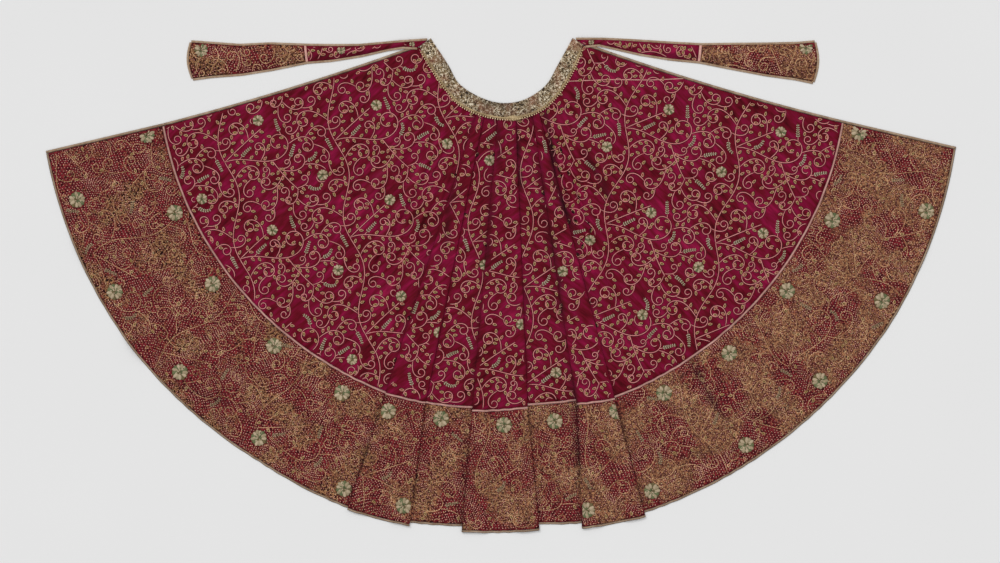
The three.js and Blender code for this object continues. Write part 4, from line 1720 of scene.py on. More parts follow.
@dataclass(frozen=True)
class Rosette:
    """A rosette in flat satin stitch, whose petals run together into patches of colour.

    Its fields are the finishes of its petals, of the short stitches round its heart and of its foot.
    Lengths, widths and starts are shares of its radius.
    """

    petals: tuple[int, ...]
    middle: tuple[int, ...]
    foot: int = 3
    petal_length: float = 0.76
    petal_start: float = 0.22
    petal_ring: float = 0.7  # the ring that the petals fill side by side
    petal_overlap: float = 1.25  # how much of that ring their widths add up to
    petal_pad: tuple[float, int, float] = (0.8, 8, 0.86)  # rise, sides and share of the width on top
    inner: tuple[float, float] = (0.36, 0.17)  # length and width of the stitches over the petals
    inner_pad: tuple[float, int, float] = (0.7, 6, 0.8)
    heart: tuple[float, float] = (0.34, 0.2)
    heart_pad: tuple[float, int, float] = (1.2, 6, 0.8)

    def parts(self, radius: float) -> list[Stamp]:
        """The foot, the petals and the heart.

        Args:
            radius: How far its petals reach.

        Returns:
            The parts, centred on the origin.
        """
        parts = [lens_stamp(radius * 0.95, 0.5, self.foot)]
        petals = len(self.petals)
        width = 2 * math.pi * radius * self.petal_ring / petals * self.petal_overlap
        rise, sides, top = self.petal_pad
        for number, finish in enumerate(self.petals):
            angle = 360 * number / petals + 4 * math.sin(5 * number)
            length = radius * (self.petal_length + 0.06 * math.sin(2.4 * number))
            petal = pad_stamp(length, width, rise, sides, finish, top)
            lift = 0.25 + 0.1 * (number % 3)
            parts.append(petal.placed(toward(angle, self.petal_start * radius), angle, lift))
        rise, sides, top = self.inner_pad
        for number, finish in enumerate(self.petals[::-2]):
            angle = 360 * number / (petals // 2 + 1) + 9 * math.sin(3 * number)
            start = (0.36 + 0.1 * math.sin(4 * number)) * radius
            stitch = pad_stamp(radius * self.inner[0], radius * self.inner[1], rise, sides, finish, top)
            parts.append(stitch.placed(toward(angle, start), angle + 24, 0.7))
        rise, sides, top = self.heart_pad
        for number, finish in enumerate(self.middle):
            angle = 360 * number / len(self.middle) + 20
            stitch = pad_stamp(radius * self.heart[0], radius * self.heart[1], rise, sides, finish, top)
            parts.append(stitch.placed(toward(angle, radius * 0.05), angle, 0.5))
        return parts

    def build(
        self,
        name: str,
        ground: Ground,
        rows: Iterable[Sequence[float]],
        finishes: Finishes,
        form: CapeForm | None,
    ) -> Piece:
        """Makes one piece of several rosettes.

        Args:
            name: The piece's name.
            ground: The cloth that they lie on.
            rows: The x and y of each, its radius and its turn in degrees.
            finishes: The cape's finishes.
            form: The cape's form, whose folds cut rosettes off; nothing does where left out.

        Returns:
            The piece.
        """
        work = Stitches(ground, form.shade if form else None)
        for x, y, radius, degrees in rows:
            place = np.array([x, y], float)
            hold = partial(form.held, panel=int(form.panel_of(place[None])[0])) if form else None
            work.motif(self.parts(radius), place, degrees, hold)
        materials = [finishes.petal_cream, finishes.petal, finishes.petal_green, finishes.foot]
        return work.build(name, materials, Slot.GOLD)


BODY_ROSETTE = Rosette((0, 1, 0, 3, 0, 2, 0, 1, 0, 0, 3, 1), (2, 3, 2, 1, 3))
BORDER_ROSETTE = Rosette((2, 1, 2, 0, 1, 0, 3, 0, 1, 2, 0, 1, 0), (0, 3, 1, 2, 2, 1))


@dataclass(frozen=True)
class Laying:
    """How the repeat lies on one panel: a fork's place and the turn of the cloth, + to the left."""

    panel: int
    x: float
    down: float
    turn: float

    def at(self, points: Array) -> Array:
        """Points of the repeat in plan."""
        return turned(points, self.turn) + (self.x, APEX_Y - self.down)

    def turn_at(self, points: Array) -> Array:
        """How far the repeat is turned at points of it."""
        return np.full(len(points), self.turn)


@dataclass(frozen=True)
class RoundLaying:
    """The repeat bent round the apex, as the border's cloth is eased to its curve."""

    panel: int
    radius: float = 960.0
    start: float = -80.0
    drop: float = 90.0

    def at(self, points: Array) -> Array:
        """Points of the repeat in plan."""
        return polar(self.turn_at(points), self.radius + self.drop - points[:, 1])

    def turn_at(self, points: Array) -> Array:
        """How far the repeat is turned at points of it."""
        return self.start + np.degrees(points[:, 0] / self.radius)


# panel, fork's x, its distance below the apex, and turn in degrees
BODY_LAYINGS = tuple(
    Laying(*row)
    for row in (
        (0, -348, 409, 9), (1, -118, 330, 5), (2, -66, 420, 2), (3, -62, 262, 0), (4, 53, 298, 0),
        (5, 96, 420, -5), (6, 240, 378, -12),
    )
)

# x and y in the frame
BODY_ROSETTES = (
    (-287, 415), (-560, 380), (-411, 254), (-256, 197), (-689, 199), (-527, 127), (-375, 35), (-230, -25),
    (-343, -171), (-124, 326), (-26, 288), (-37, 47), (47, -90), (-143, -109), (387, 405), (645, 353),
    (244, 319), (508, 261), (346, 167), (604, 120), (205, 104), (142, 32), (455, 42), (326, -68), (127, -201),
)
BORDER_ROSETTES = (
    (-816, 346), (-751, 167), (-664, 3), (-523, -140), (-366, -248), (-260, -290), (-138, -308), (7, -322),
    (124, -313), (267, -290), (376, -248), (526, -156), (659, -13), (763, 150), (825, 351), (-977, 197),
    (-890, -15), (-740, -200), (-558, -352), (-362, -469), (-224, -508), (198, -518), (348, -474),
    (565, -368), (735, -220), (878, -36), (980, 171),
)


class Embroidery:
    """Vines, leaves, sprays and rosettes worked on one ground."""

    margin = 2.5
    tip_margin = 1.0
    give = 0.4  # how much of a leaf's half length keeps clear of a rosette

    def __init__(self, ground: Ground, keep_out: Array, radius: float) -> None:
        """Starts with bare cloth.

        Args:
            ground: The cloth.
            keep_out: Places of rosettes, which other stitches go round.
            radius: How far round them.
        """
        self.ground = ground
        self.keep_out = keep_out
        self.radius = radius
        self.stems: list[Array] = []
        self.leaves: list[Array] = []
        self.sprays: list[Array] = []

    def free(self, plan: Array, reach: float = 0.0) -> Array:
        """Whether points lie clear of the rosettes."""
        gaps = np.linalg.norm(plan[:, None] - self.keep_out[None], axis=2)
        return gaps.min(axis=1) > self.radius + reach

    def cover(
        self, vine: Vine, laying: Laying | RoundLaying, columns: range, rows: range, size: float = 1.0
    ) -> None:
        """Covers a panel with repeats of a vine.

        Args:
            vine: One repeat.
            laying: How the repeat lies on the panel.
            columns: The repeats across.
            rows: The repeats along.
            size: A scale for a smaller vine.
        """
        for column in columns:
            for row in rows:
                shift = column * np.array(ACROSS) + row * np.array(ALONG)
                self._grow(vine, laying, shift, size)

    def _grow(self, vine: Vine, laying: Laying | RoundLaying, shift: Array, size: float) -> None:
        """Keeps what of one repeat falls on the laying's panel.

        Args:
            vine: The vine of one repeat.
            laying: How the repeats lie.
            shift: The repeat's place among them.
            size: How large the vine is.
        """
        points = laying.at((np.vstack(vine.stems) + shift) * size)
        good = self.ground.clear(points, self.margin, laying.panel) & self.free(points)
        cuts = np.cumsum([len(s) for s in vine.stems])[:-1]
        for path, kept in zip(np.split(points, cuts), np.split(good, cuts)):
            marks = np.flatnonzero(np.diff(np.concatenate([[0], kept.astype(int), [0]])))
            for start, end in zip(marks[::2], marks[1::2]):
                if end - start > 2:
                    self.stems.append(path[start:end])
        kinds = ((vine.leaves, LEAF[0] / 2, self.leaves), (vine.sprays, SPRAY_LENGTH / 2, self.sprays))
        for motifs, reach, kept in kinds:
            rows = np.array(motifs)
            flat = (rows[:, :2] + shift) * size
            base, heading = laying.at(flat), rows[:, 2] + laying.turn_at(flat)
            a = np.radians(heading)
            ways = np.stack([np.cos(a), np.sin(a)], axis=-1) * reach
            good = self.ground.clear(base + ways, self.margin, laying.panel)
            for end in (base, base + 2 * ways):
                good[good] = self.ground.clear(end[good], self.tip_margin, laying.panel)
            good &= self.free(base + ways, reach * self.give)
            kept += list(np.column_stack([base, heading])[good])

    def work(
        self, name: str, finishes: Finishes, colours: "VineColours", shade: Callable | None
    ) -> list[Piece]:
        """Makes the pieces: cords with their shade, leaves and sprays.

        Args:
            name: What the pieces' names start with.
            finishes: The cape's finishes.
            colours: The vine's widths and finishes.
            shade: How dark the ground is at points in plan.

        Returns:
            The pieces.
        """
        cords = Stitches(self.ground, shade)
        for stem in self.stems:
            cords.cord(stem, colours.width, 1.0, 0, 1 if colours.flanked else None)
        pieces = [cords.build(f"{name}_vine_cords", [colours.cord, finishes.shadow], Slot.GOLD)]
        leaves = Stitches(self.ground, shade)
        rows = np.array(self.leaves)
        for start, fill in enumerate((1, 1, 2)):
            stamp = leaf_stamp(*LEAF, rim=0, fill=fill, foot=3)
            leaves.scatter(stamp, rows[start::3, :2], rows[start::3, 2])
        finish = [colours.rim, finishes.leaf, finishes.leaf_pale, finishes.shadow]
        pieces.append(leaves.build(f"{name}_leaves", finish, Slot.GOLD))
        if self.sprays:
            sprays = Stitches(self.ground, shade)
            rows = np.array(self.sprays)
            for start, bend in enumerate((0.0, 80.0, -20.0)):
                stamp = spray_stamp(0, 1, 2, bend)
                sprays.scatter(stamp, rows[start::3, :2], rows[start::3, 2] - bend / 3)
            finish = [colours.rim, colours.leaflet, finishes.spray_shade]
            pieces.append(sprays.build(f"{name}_sprays", finish, Slot.GOLD))
        return pieces


@dataclass(frozen=True)
class VineColours:
    """A vine's width in millimetres, whether a dark flank of stitching and painted shade lies beside it, and
    its finishes.
    """

    width: float
    flanked: bool
    cord: Material
    rim: Material
    leaflet: Material


# ---- The cape ------------------------------------------------------------------------------------
MIRRORED_FROM = 4  # the first panel that is cut from the second length, laid the other way round
SECOND_LENGTH = 4000.0  # how far along that length starts on the cloth's map
STRIP_SHARES = (0, 0.2, 0.5, 0.8, 1)  # places across a tape or a cord
STRIP_CROWN = (0.0, 0.35, 0.5, 0.35, 0.0)  # how far it is raised there


@dataclass
class MainCloth:
    """The body's satin, the border below it, and the cords sewn into the seam and along the hem."""

    form: CapeForm
    finishes: Finishes
    body_rows: int = 60
    border_rows: int = 24
    body_end: float = 0.985  # the reach of the last row before the seam's edge
    border_ends: tuple[float, float] = (SEAM_REACH + 0.015, HEM_REACH - 0.01)
    cord_section: tuple[tuple[float, float], ...] = (
        (-0.5, 0), (-0.32, 0.45), (0, 0.75), (0.32, 0.45), (0.5, 0),
    )
    cord_edge_shade: tuple[tuple[int, float], ...] = ((0, 1.0), (1, 0.4), (-2, 0.5), (-1, 1.0))  # rows across a cord that take painted shade along its sides, and how much of it each takes
    # how dark a cord is along its length at the least, and how much that wavers
    cord_uneven_dark: tuple[float, float] = (0.12, 0.14)
    cord_waver: float = 0.6
    seam_edge_shade: float = 0.85
    hem_edge_shade: float = 0.95
    body: Piece = field(init=False)
    border: Piece = field(init=False)
    seam: Piece = field(init=False)
    hem: Piece = field(init=False)

    def __post_init__(self) -> None:
        """Builds the four pieces."""
        form, finishes = self.form, self.finishes
        body = [form.row(r) for r in np.linspace(0, self.body_end, self.body_rows)]
        body.append(form.row(SEAM_REACH, -HALF_SEAM))
        border = [form.row(r) for r in np.linspace(*self.border_ends, self.border_rows)]
        border = [form.row(SEAM_REACH, HALF_SEAM), *border, form.row(HEM_REACH, -SEAM_GAP)]
        self.body = self._sheet("body_satin", body, finishes.satin, Slot.SATIN, "body_cloth")
        self.border = self._sheet("border_darned_satin", border, finishes.darned, Slot.BORDER, "border_cloth")
        self.body_ground = Ground(self.body.data, form.panel_of)
        self.border_ground = Ground(self.border.data, form.panel_of)
        self.seam = self._cord("seam_cord", SEAM_REACH, 0.0, "seam_piping", finishes.piping, self.seam_edge_shade)
        self.hem = self._cord("hem_cord", HEM_REACH, PIPING / 2, "hem_piping", finishes.tape, self.hem_edge_shade)

    def _sheet(self, name: str, rows: list[Array], finish: Material, slot: Slot, node: str) -> Piece:
        """Builds one cloth of the cape.

        Args:
            name: The piece's name.
            rows: Its rows of points.
            finish: Its material.
            slot: The record's slot.
            node: The solid that it stands for.

        Returns:
            The piece.
        """
        points = np.stack(rows)
        a = np.radians([PANELS[c.panel].grain for c in self.form.columns])
        along = points[..., 0] * np.cos(a) + points[..., 1] * np.sin(a)
        mirrored = np.array([c.panel >= MIRRORED_FROM for c in self.form.columns])
        along = np.where(mirrored, SECOND_LENGTH - along, along)
        cloth = np.stack([along, points[..., 1] * np.cos(a) - points[..., 0] * np.sin(a)], axis=-1)
        shade = self.form.shade(points[..., :2].reshape(-1, 2))
        return sheet_piece(name, points, finish, slot, node, cloth=cloth, shade=shade)

    def _cord(self, name: str, reach: float, moved: float, node: str, finish: Material, wear_and_shade: float) -> Piece:
        """Builds a cord sewn along one row of the cape, with painted shade along both its sides.

        Args:
            name: The piece's name.
            reach: The row's reach.
            moved: Millimetres that the cord lies further down.
            node: The solid that it stands for.
            finish: Its material.
            wear_and_shade: How much painted shade lies along its sides.

        Returns:
            The piece.
        """
        rows = [self.form.row(reach, moved + PIPING * x) + (0, 0, z) for x, z in self.cord_section]
        points = np.stack(rows)
        middle = points[2, :, 0]
        shade = self.form.shade(points[..., :2].reshape(-1, 2)).reshape(points.shape[:2])
        shade = np.maximum(shade, self.cord_uneven_dark[0] + self.cord_uneven_dark[1] * wave(middle, middle, 9, 2, 23))
        points[..., 1] += self.cord_waver * wave(middle, middle, 7, 3, 29)
        # painted shade along the cord's sides, so that only its crown shows pale
        for row, share in self.cord_edge_shade:
            shade[row] = np.maximum(shade[row], share * wear_and_shade)
        return sheet_piece(name, points, finish, Slot.PIPING, node, shade=shade)


@dataclass(frozen=True)
class FrontTape:
    """The folded tape that binds one front edge and turns the hem's corner."""

    side: int  # -1 is the left and 1 the right
    steps: int = 70
    start: float = 3.0
    below_seam: float = 1.17  # a reach halfway down the border
    wear_and_shade: tuple[float, ...] = (0.95, 0.7, 0.12, 0.12, 0.4)  # painted shade across the tape, from the cloth outwards
    uneven: float = 0.12

    def build(self, finishes: Finishes) -> Piece:
        """Builds the tape.

        Args:
            finishes: The cape's finishes.

        Returns:
            The piece.
        """
        word, line = ("left", "leftFront") if self.side < 0 else ("right", "rightFront")
        first = front_share(line, self.start)
        path = ruling(line, [*np.linspace(first, 1, self.steps), self.below_seam, HEM_REACH])
        past = path[-1] + unit(path[-1] - path[-2]) * PIPING
        path = np.vstack([path, past])
        way = unit(np.gradient(path, axis=0))
        out = np.stack([-self.side * way[:, 1], self.side * way[:, 0]], axis=-1)
        rows = []
        for share, crown in zip(STRIP_SHARES, STRIP_CROWN):
            plan = path + out * (SEAM_GAP + BINDING_WIDTH * share)
            rows.append(np.column_stack([plan, np.full(len(plan), BINDING / 2 + crown)]))
        steps = np.arange(len(path))
        # painted shade along the tape: a shadow line by the cloth and a darker outer edge
        wear_and_shade = np.repeat(np.array(self.wear_and_shade)[:, None], len(path), axis=1)
        wear_and_shade = np.clip(wear_and_shade + self.uneven * np.sin(steps * 1.7 + 2 * np.sin(steps / 4)), 0, 1)
        name, node = f"front_tape_{word}", f"front_binding_{word}"
        return sheet_piece(name, np.stack(rows), finishes.tape, Slot.EDGE, node, BINDING, shade=wear_and_shade)


def front_share(line: str, distance: float) -> float:
    """How far down a front edge a point is.

    Args:
        line: The edge's line of the cut.
        distance: Millimetres from the neck seam's corner.

    Returns:
        The point's reach.
    """
    share, angle, radius = LINES[line][:3]
    length = float(np.linalg.norm(NECK_SEAM.at(share) - polar(angle, radius))) + BAND_TUCK
    return (BAND_TUCK + distance) / length


@dataclass
class Neck:
    """The brocade band in two halves, with a plaited braid and a picot edge along its seam."""

    finishes: Finishes
    steps: int = 90
    rows: int = 14
    arc: float = 480.0  # the band's length
    climb: tuple[float, float] = (0.3, 0.72)
    ramp: tuple[float, float] = (0.04, 0.01)
    darkening: tuple[float, float] = (0.3, 100.0)  # how much darker the centre back is, and how far that spreads
    margin_steps: int = 260
    margin_depths: tuple[float, float, int] = (0.6, 1.2, 12)
    braids: tuple[float, float] = (0.93, 0.985)
    braid: tuple[float, float] = (2.6, 1.1)
    bead: tuple[float, float] = (4.2, 3.4)
    bead_pitch: float = 5.6
    point: tuple[float, float] = (15.0, 52.0)
    point_at: float = 0.54
    wear_and_shade: tuple = (((9, 418), (17, 417)), ((25, 418), (36, 417)))
    halves: list[Piece] = field(default_factory=list)
    edging: Piece = field(init=False)

    def __post_init__(self) -> None:
        """Builds both halves and the edging."""
        trim = SEAM_GAP / 2 / self.arc
        depths = np.linspace(0, 1, self.rows)
        dark, spread = self.darkening
        for word, first, last in (("left", 0.0, 0.5 - trim), ("right", 0.5 + trim, 1.0)):
            points = self._points(np.linspace(first, last, self.steps), depths, BAND / 2)
            shade = dark * np.exp(-((points[..., 0] / spread) ** 2))
            name, node = f"neck_band_{word}_brocade", f"neck_band_{word}"
            half = sheet_piece(name, points, self.finishes.brocade, Slot.NECK, node, BAND, shade=shade)
            self.halves.append(half)
        self.edging = self._edging()

    def _points(self, shares: Array, depths: Array, raise_by: float) -> Array:
        """Finds points on the band, which climbs over the pleats at its seam.

        Args:
            shares: Places along it.
            depths: Places from the opening to the seam.
            raise_by: Millimetres over its underside.

        Returns:
            A row of x, y, z for each depth.
        """
        inner, outer = NECK_OPENING.at(shares), NECK_SEAM.at(shares)
        length, clear = self.ramp
        start = LINES["pleat1Left"][0] - clear - length
        end = LINES["pleat3Right"][0] + clear + length
        plateau = smooth((shares - start) / length) * smooth((end - shares) / length)
        lift = CLOTH + SEAM_GAP + 2 * LAYER * plateau
        low, high = self.climb
        rows = []
        for depth in depths:
            plan = inner + (outer - inner) * depth
            rows.append(np.column_stack([plan, raise_by + lift * smooth((depth - low) / (high - low))]))
        return np.stack(rows)

    def _edging(self) -> Piece:
        """Builds the braid's two plaits and the row of picots, raised on the band's margin.

        Returns:
            The piece.
        """
        finishes = self.finishes
        shares = np.linspace(0.012, 0.988, self.margin_steps)
        margin = self._points(shares, np.linspace(*self.margin_depths), BAND - CLOTH / 2)
        under = grid_mesh("neck_margin", margin)
        stitches = Stitches(Ground(under))
        bpy.data.meshes.remove(under)
        for depth in self.braids:
            path = self._points(shares[2:-2], np.array([depth]), 0.0)[0][:, :2]
            stitches.cord(path, *self.braid)
        seam = NECK_SEAM.at(shares[3:-3])
        length = np.linalg.norm(np.diff(seam, axis=0), axis=1).sum()
        beads = np.linspace(shares[3], shares[-4], round(length / self.bead_pitch))
        outer = NECK_SEAM.at(beads)
        out = unit(outer - NECK_OPENING.at(beads))
        angles = np.degrees(np.arctan2(out[:, 1], out[:, 0]))
        stitches.scatter(pad_stamp(*self.bead, 1.7, 6, 2, 0.6), outer + out * 0.7, angles)
        middle = NECK_SEAM.at(np.array([self.point_at])) + (0, self.point[0] / 2)
        stitches.scatter(pad_stamp(*self.point, 1.5, 4, 0, 0.7), middle, np.array([-90.0]))
        for ends in self.wear_and_shade:
            stitches.cord(np.linspace(*np.array(ends, float), 5), 3.0, 0.5, 1)
        return stitches.build("neck_picot_braid", [finishes.braid, finishes.shadow, finishes.bead], Slot.GOLD)


@dataclass(frozen=True)
class TieRow:
    """One row of a tie: its place out from the middle, its edges above the apex, its crease and lift."""

    out: float
    top: float
    foot: float
    crease: float
    lift: float = 0.0


LEFT_TIE = tuple(
    TieRow(*row)
    for row in (
        (228, 45.5, 25.5, 1, 1.8), (262, 42.5, 20.5, 2), (323, 37, 6.6, 5), (392, 36.6, -4.4, 6),
        (449, 37.6, -8.9, 3), (530, 40.6, -25.4, 6), (600, 37.1, -36.4, 9), (668, 42.1, -41.4, 7),
        (713.5, 45.1, -47.4, 0),
    )
)
RIGHT_TIE = tuple(
    TieRow(*row)
    for row in (
        (228, 51, 31, 1, 1.8), (262, 50, 23.5, 2), (323, 46.6, 9.6, 5), (392, 42.1, -1.4, 6),
        (458, 38.6, -7.9, 4), (542, 39.6, -24.4, 7), (611, 40.1, -37.4, 9), (680, 41.6, -46.9, 6),
        (722.5, 45.1, -55.4, 0),
    )
)


@dataclass
class Tie:
    """A tie of satin that ends in border cloth, piped across its seam and bound round its edges."""

    word: str
    rows: Sequence[TieRow]
    line: str
    side: int
    finishes: Finishes
    seam: int = 5  # the row at the seam between its cloths
    across: int = 15
    bulge: float = 8.0
    lean: float = 4.0
    edge: float = PIPING + SEAM_GAP
    row_length: float = 62.5  # about how far apart the rows are
    seam_share: float = 0.88
    clear: tuple[float, float] = (0.45, 0.62)
    inset: float = 0.3
    root_length: float = 5.0
    root_lift: float = BINDING + SEAM_GAP
    fine: int = 8  # steps to a row
    crease_power: float = 2.6
    foot_shade: float = 0.4
    satin: Piece = field(init=False)
    border: Piece = field(init=False)

    def __post_init__(self) -> None:
        """Builds the tie's six pieces."""
        last, name, finishes = len(self.rows), f"tie_{self.word}", self.finishes
        shares = np.linspace(0, 1, self.across)
        near = HALF_SEAM / self.row_length
        satin = self._grid(np.linspace(0, self.seam - near, self.seam * self.fine), shares)
        border = self._grid(np.linspace(self.seam + near, last, (last - self.seam) * self.fine), shares)
        self.satin = self._sheet(f"{name}_satin_cloth", satin, finishes.satin, Slot.SATIN, f"{name}_satin")
        node = f"{name}_border"
        self.border = self._sheet(f"{name}_darned_satin", border, finishes.darned, Slot.BORDER, node)
        self.satin_ground, self.border_ground = Ground(self.satin.data), Ground(self.border.data)
        cross = [self.seam + (2 * u - 1) * near * self.seam_share for u in STRIP_SHARES]
        seam, node = self._grid(cross, shares), f"{name}_seam_piping"
        self._cord(f"{name}_seam_cord", seam, finishes.piping, Slot.PIPING, node)
        step = float(np.linalg.norm(self._grid([last], [0.5])[0, 0] - self._grid([last - 1], [0.5])[0, 0]))
        ends = [last + (SEAM_GAP + PIPING * u) / step for u in STRIP_SHARES]
        end, node = self._grid(ends, shares), f"{name}_end_piping"
        self._cord(f"{name}_end_cord", end, finishes.tape, Slot.EDGE, node)
        along = np.linspace(0, last, last * self.fine)
        for edge, share, way in (("top", 0.0, 1), ("foot", 1.0, -1)):
            row = self._grid(along, [share])[:, 0]
            strip = np.stack([row + (0, way * (SEAM_GAP + PIPING * u), 0) for u in STRIP_SHARES])
            self._cord(f"{name}_{edge}_tape", strip, finishes.tape, Slot.EDGE, f"{name}_{edge}_binding")

    def _root(self, shares: Array) -> Array:
        """Finds the tie's first row, over the band's end and the start of the front tape.

        Args:
            shares: Places from its top edge to its foot.

        Returns:
            One x, y, z for each share.
        """
        share = LINES[self.line][0]
        away = np.array([self.side * self.clear[0], self.clear[1]])
        turn = NECK_SEAM.at(share) + away
        opening = NECK_OPENING.at(share) + away
        corner = opening + (turn - opening) * self.inset
        foot = ruling(self.line, [front_share(self.line, self.root_length)])[0] + away
        above = [corner + (turn - corner) * s * 2 for s in shares if s < 0.5]
        plan = above + [turn + (foot - turn) * (s * 2 - 1) for s in shares if s >= 0.5]
        return np.column_stack([np.array(plan), np.full(len(shares), self.root_lift + CLOTH / 2)])

    def _row(self, number: int, shares: Array) -> Array:
        """Finds one row of the table.

        Args:
            number: The row's number.
            shares: Places from its top edge to its foot.

        Returns:
            One x, y, z for each share.
        """
        row = self.rows[number]
        end = number == len(self.rows) - 1
        bulge = self.bulge * np.sin(math.pi * shares) if end else 0 * shares
        lean = self.side * self.lean * (-shares if end else 0.5 - shares)
        top, foot = row.top - self.edge, row.foot + self.edge
        z = CLOTH / 2 + row.lift + row.crease * np.sin(math.pi * shares) ** self.crease_power
        x, y = self.side * (row.out + bulge) + lean, APEX_Y + top + (foot - top) * shares
        return np.column_stack([x, y, z])

    def _grid(self, steps: Sequence[float], shares: Sequence[float]) -> Array:
        """Finds points on the tie.

        Args:
            steps: Rows along it; past the last row it runs straight on.
            shares: Places across it.

        Returns:
            A row of x, y, z for each step.
        """
        shares = np.asarray(shares, float)
        table = np.stack([self._root(shares), *(self._row(n, shares) for n in range(len(self.rows)))])
        rows = []
        for step in steps:
            at = min(len(table) - 2, int(step))
            rows.append(table[at] + (table[at + 1] - table[at]) * (step - at))
        return np.stack(rows)

    def _sheet(self, name: str, points: Array, finish: Material, slot: Slot, node: str) -> Piece:
        """Builds one cloth of the tie, with painted shade along its foot.

        Args:
            name: The piece's name.
            points: Rows of x, y, z.
            finish: Its material.
            slot: The record's slot.
            node: The solid that it stands for.

        Returns:
            The piece.
        """
        across = np.broadcast_to(np.linspace(0, 1, points.shape[1]), points.shape[:2])
        # painted shade of a fold along the tie's foot, uneven along its length
        uneven = 0.75 + 0.25 * np.sin(points[..., 0] / 31)
        shade = self.foot_shade * smooth((across - 0.4) / 0.5) * uneven
        return sheet_piece(name, points, finish, slot, node, shade=shade)

    @staticmethod
    def _cord(name: str, points: Array, finish: Material, slot: Slot, node: str) -> None:
        """Builds a crowned strip along a row or an edge.

        Args:
            name: The piece's name.
            points: Five rows of x, y, z.
            finish: Its material.
            slot: The record's slot.
            node: The solid that it stands for.
        """
        crowned = points + np.array(STRIP_CROWN)[:, None, None] * (0, 0, 1)
        sheet_piece(name, crowned, finish, slot, node)


@dataclass(frozen=True)
class Knots:
    """Pink knots in small cells of bare satin, and short gilt stitches where the border is darned close."""

    pitch: float = 5.8
    wander: tuple[float, float] = (7.0, 3.0)  # how far the rows sway, in long waves and in short ones
    jitter: float = 0.45
    row_share: float = 0.87  # how much closer the rows are than the knots in a row
    inset: float = 2.5
    hem: tuple[float, float] = (1115.0, 80.0)  # the last radius with knots, and from how far below the apex
    cell: tuple[float, float] = (2.6, 0.3)
    knot: tuple[float, float] = (1.5, 0.8)
    dart: tuple[float, float] = (0.8, 0.7)
    drawn: float = 3.3
    darts: tuple[tuple[int, int], ...] = ((2, 1), (2, 1), (3, 3))  # finish, and one in how many is kept
    close: tuple[float, float] = (0.2, 0.46)  # the share of darts on bare satin, and how much darning adds
    scatter: float = 1.3  # how far darts lie from the knots' places
    sway: float = 2.2
    lean: float = 20.0
    sizes: tuple[float, float] = (0.8, 1.15)

    def places(self, ground: Ground, low: Sequence[float], high: Sequence[float], free: Callable) -> Array:
        """Finds places for knots: close rows that wander, as a hand leaves them.

        Args:
            ground: The cloth.
            low: The lowest x and y of the cloth.
            high: The highest x and y.
            free: Says which places no rosette covers.

        Returns:
            The places in plan.
        """
        draw = np.random.default_rng(SEED)
        xs = np.arange(low[0], high[0], self.pitch)
        ys = np.arange(low[1], high[1], self.pitch * self.row_share)
        x, y = np.meshgrid(xs, ys)
        x = x + (np.arange(len(ys)) % 2)[:, None] * self.pitch / 2
        x, y = x.ravel(), y.ravel()
        broad, fine = self.wander
        wander_x = broad * wave(y, x, 23, 1.4, 47) + fine * np.sin(x / 13 + y / 31)
        wander_y = broad * wave(x, y, 27, 1.3, 39) + fine * np.sin(y / 15 - x / 37)
        places = np.column_stack([x + wander_x, y + wander_y])
        places = places + draw.normal(0, self.jitter, places.shape)
        radius = np.hypot(places[:, 0], places[:, 1] - APEX_Y)
        places = places[(radius < self.hem[0]) | (places[:, 1] > APEX_Y - self.hem[1])]
        for shift in ((0, 0), (self.inset, 0), (-self.inset, 0), (0, self.inset), (0, -self.inset)):
            places = places[~np.isnan(ground.top(places + shift))]
        return places[free(places)]

    def build(
        self, name: str, ground: Ground, spots: Array, finishes: Finishes, shade: Callable | None
    ) -> Piece:
        """Makes one piece of knots and darts.

        Args:
            name: The piece's name.
            ground: The cloth.
            spots: Their places in plan.
            finishes: The cape's finishes.
            shade: How dark the ground is at points in plan.

        Returns:
            The piece.
        """
        draw = np.random.default_rng(SEED + 1)
        turns = draw.uniform(0, 90, len(spots))
        sizes = draw.uniform(*self.sizes, len(spots))
        close = draw.uniform(0, 1, len(spots)) < self.close[0] + self.close[1] * darned_share(spots)
        work = Stitches(ground, shade)
        for stamp in (point_stamp(*self.cell, 5, 0), point_stamp(*self.knot, 4, 1, 0.1)):
            work.scatter(stamp, spots[~close], turns[~close], sizes[~close])
        for finish, every in self.darts:
            some = spots[close] + draw.normal(0, self.scatter, (int(close.sum()), 2))
            sway = self.sway * np.sin(some[:, 0] / 6) + self.sway * np.sin(some[:, 1] / 7)
            meander = np.degrees(sway) + draw.normal(0, self.lean, len(some))
            dart = point_stamp(*self.dart, 4, finish, 0.0, self.drawn)
            work.scatter(dart, some[::every], meander[::every])
        return work.build(name, [finishes.cell, finishes.dot, finishes.gold, finishes.bead], Slot.GOLD)


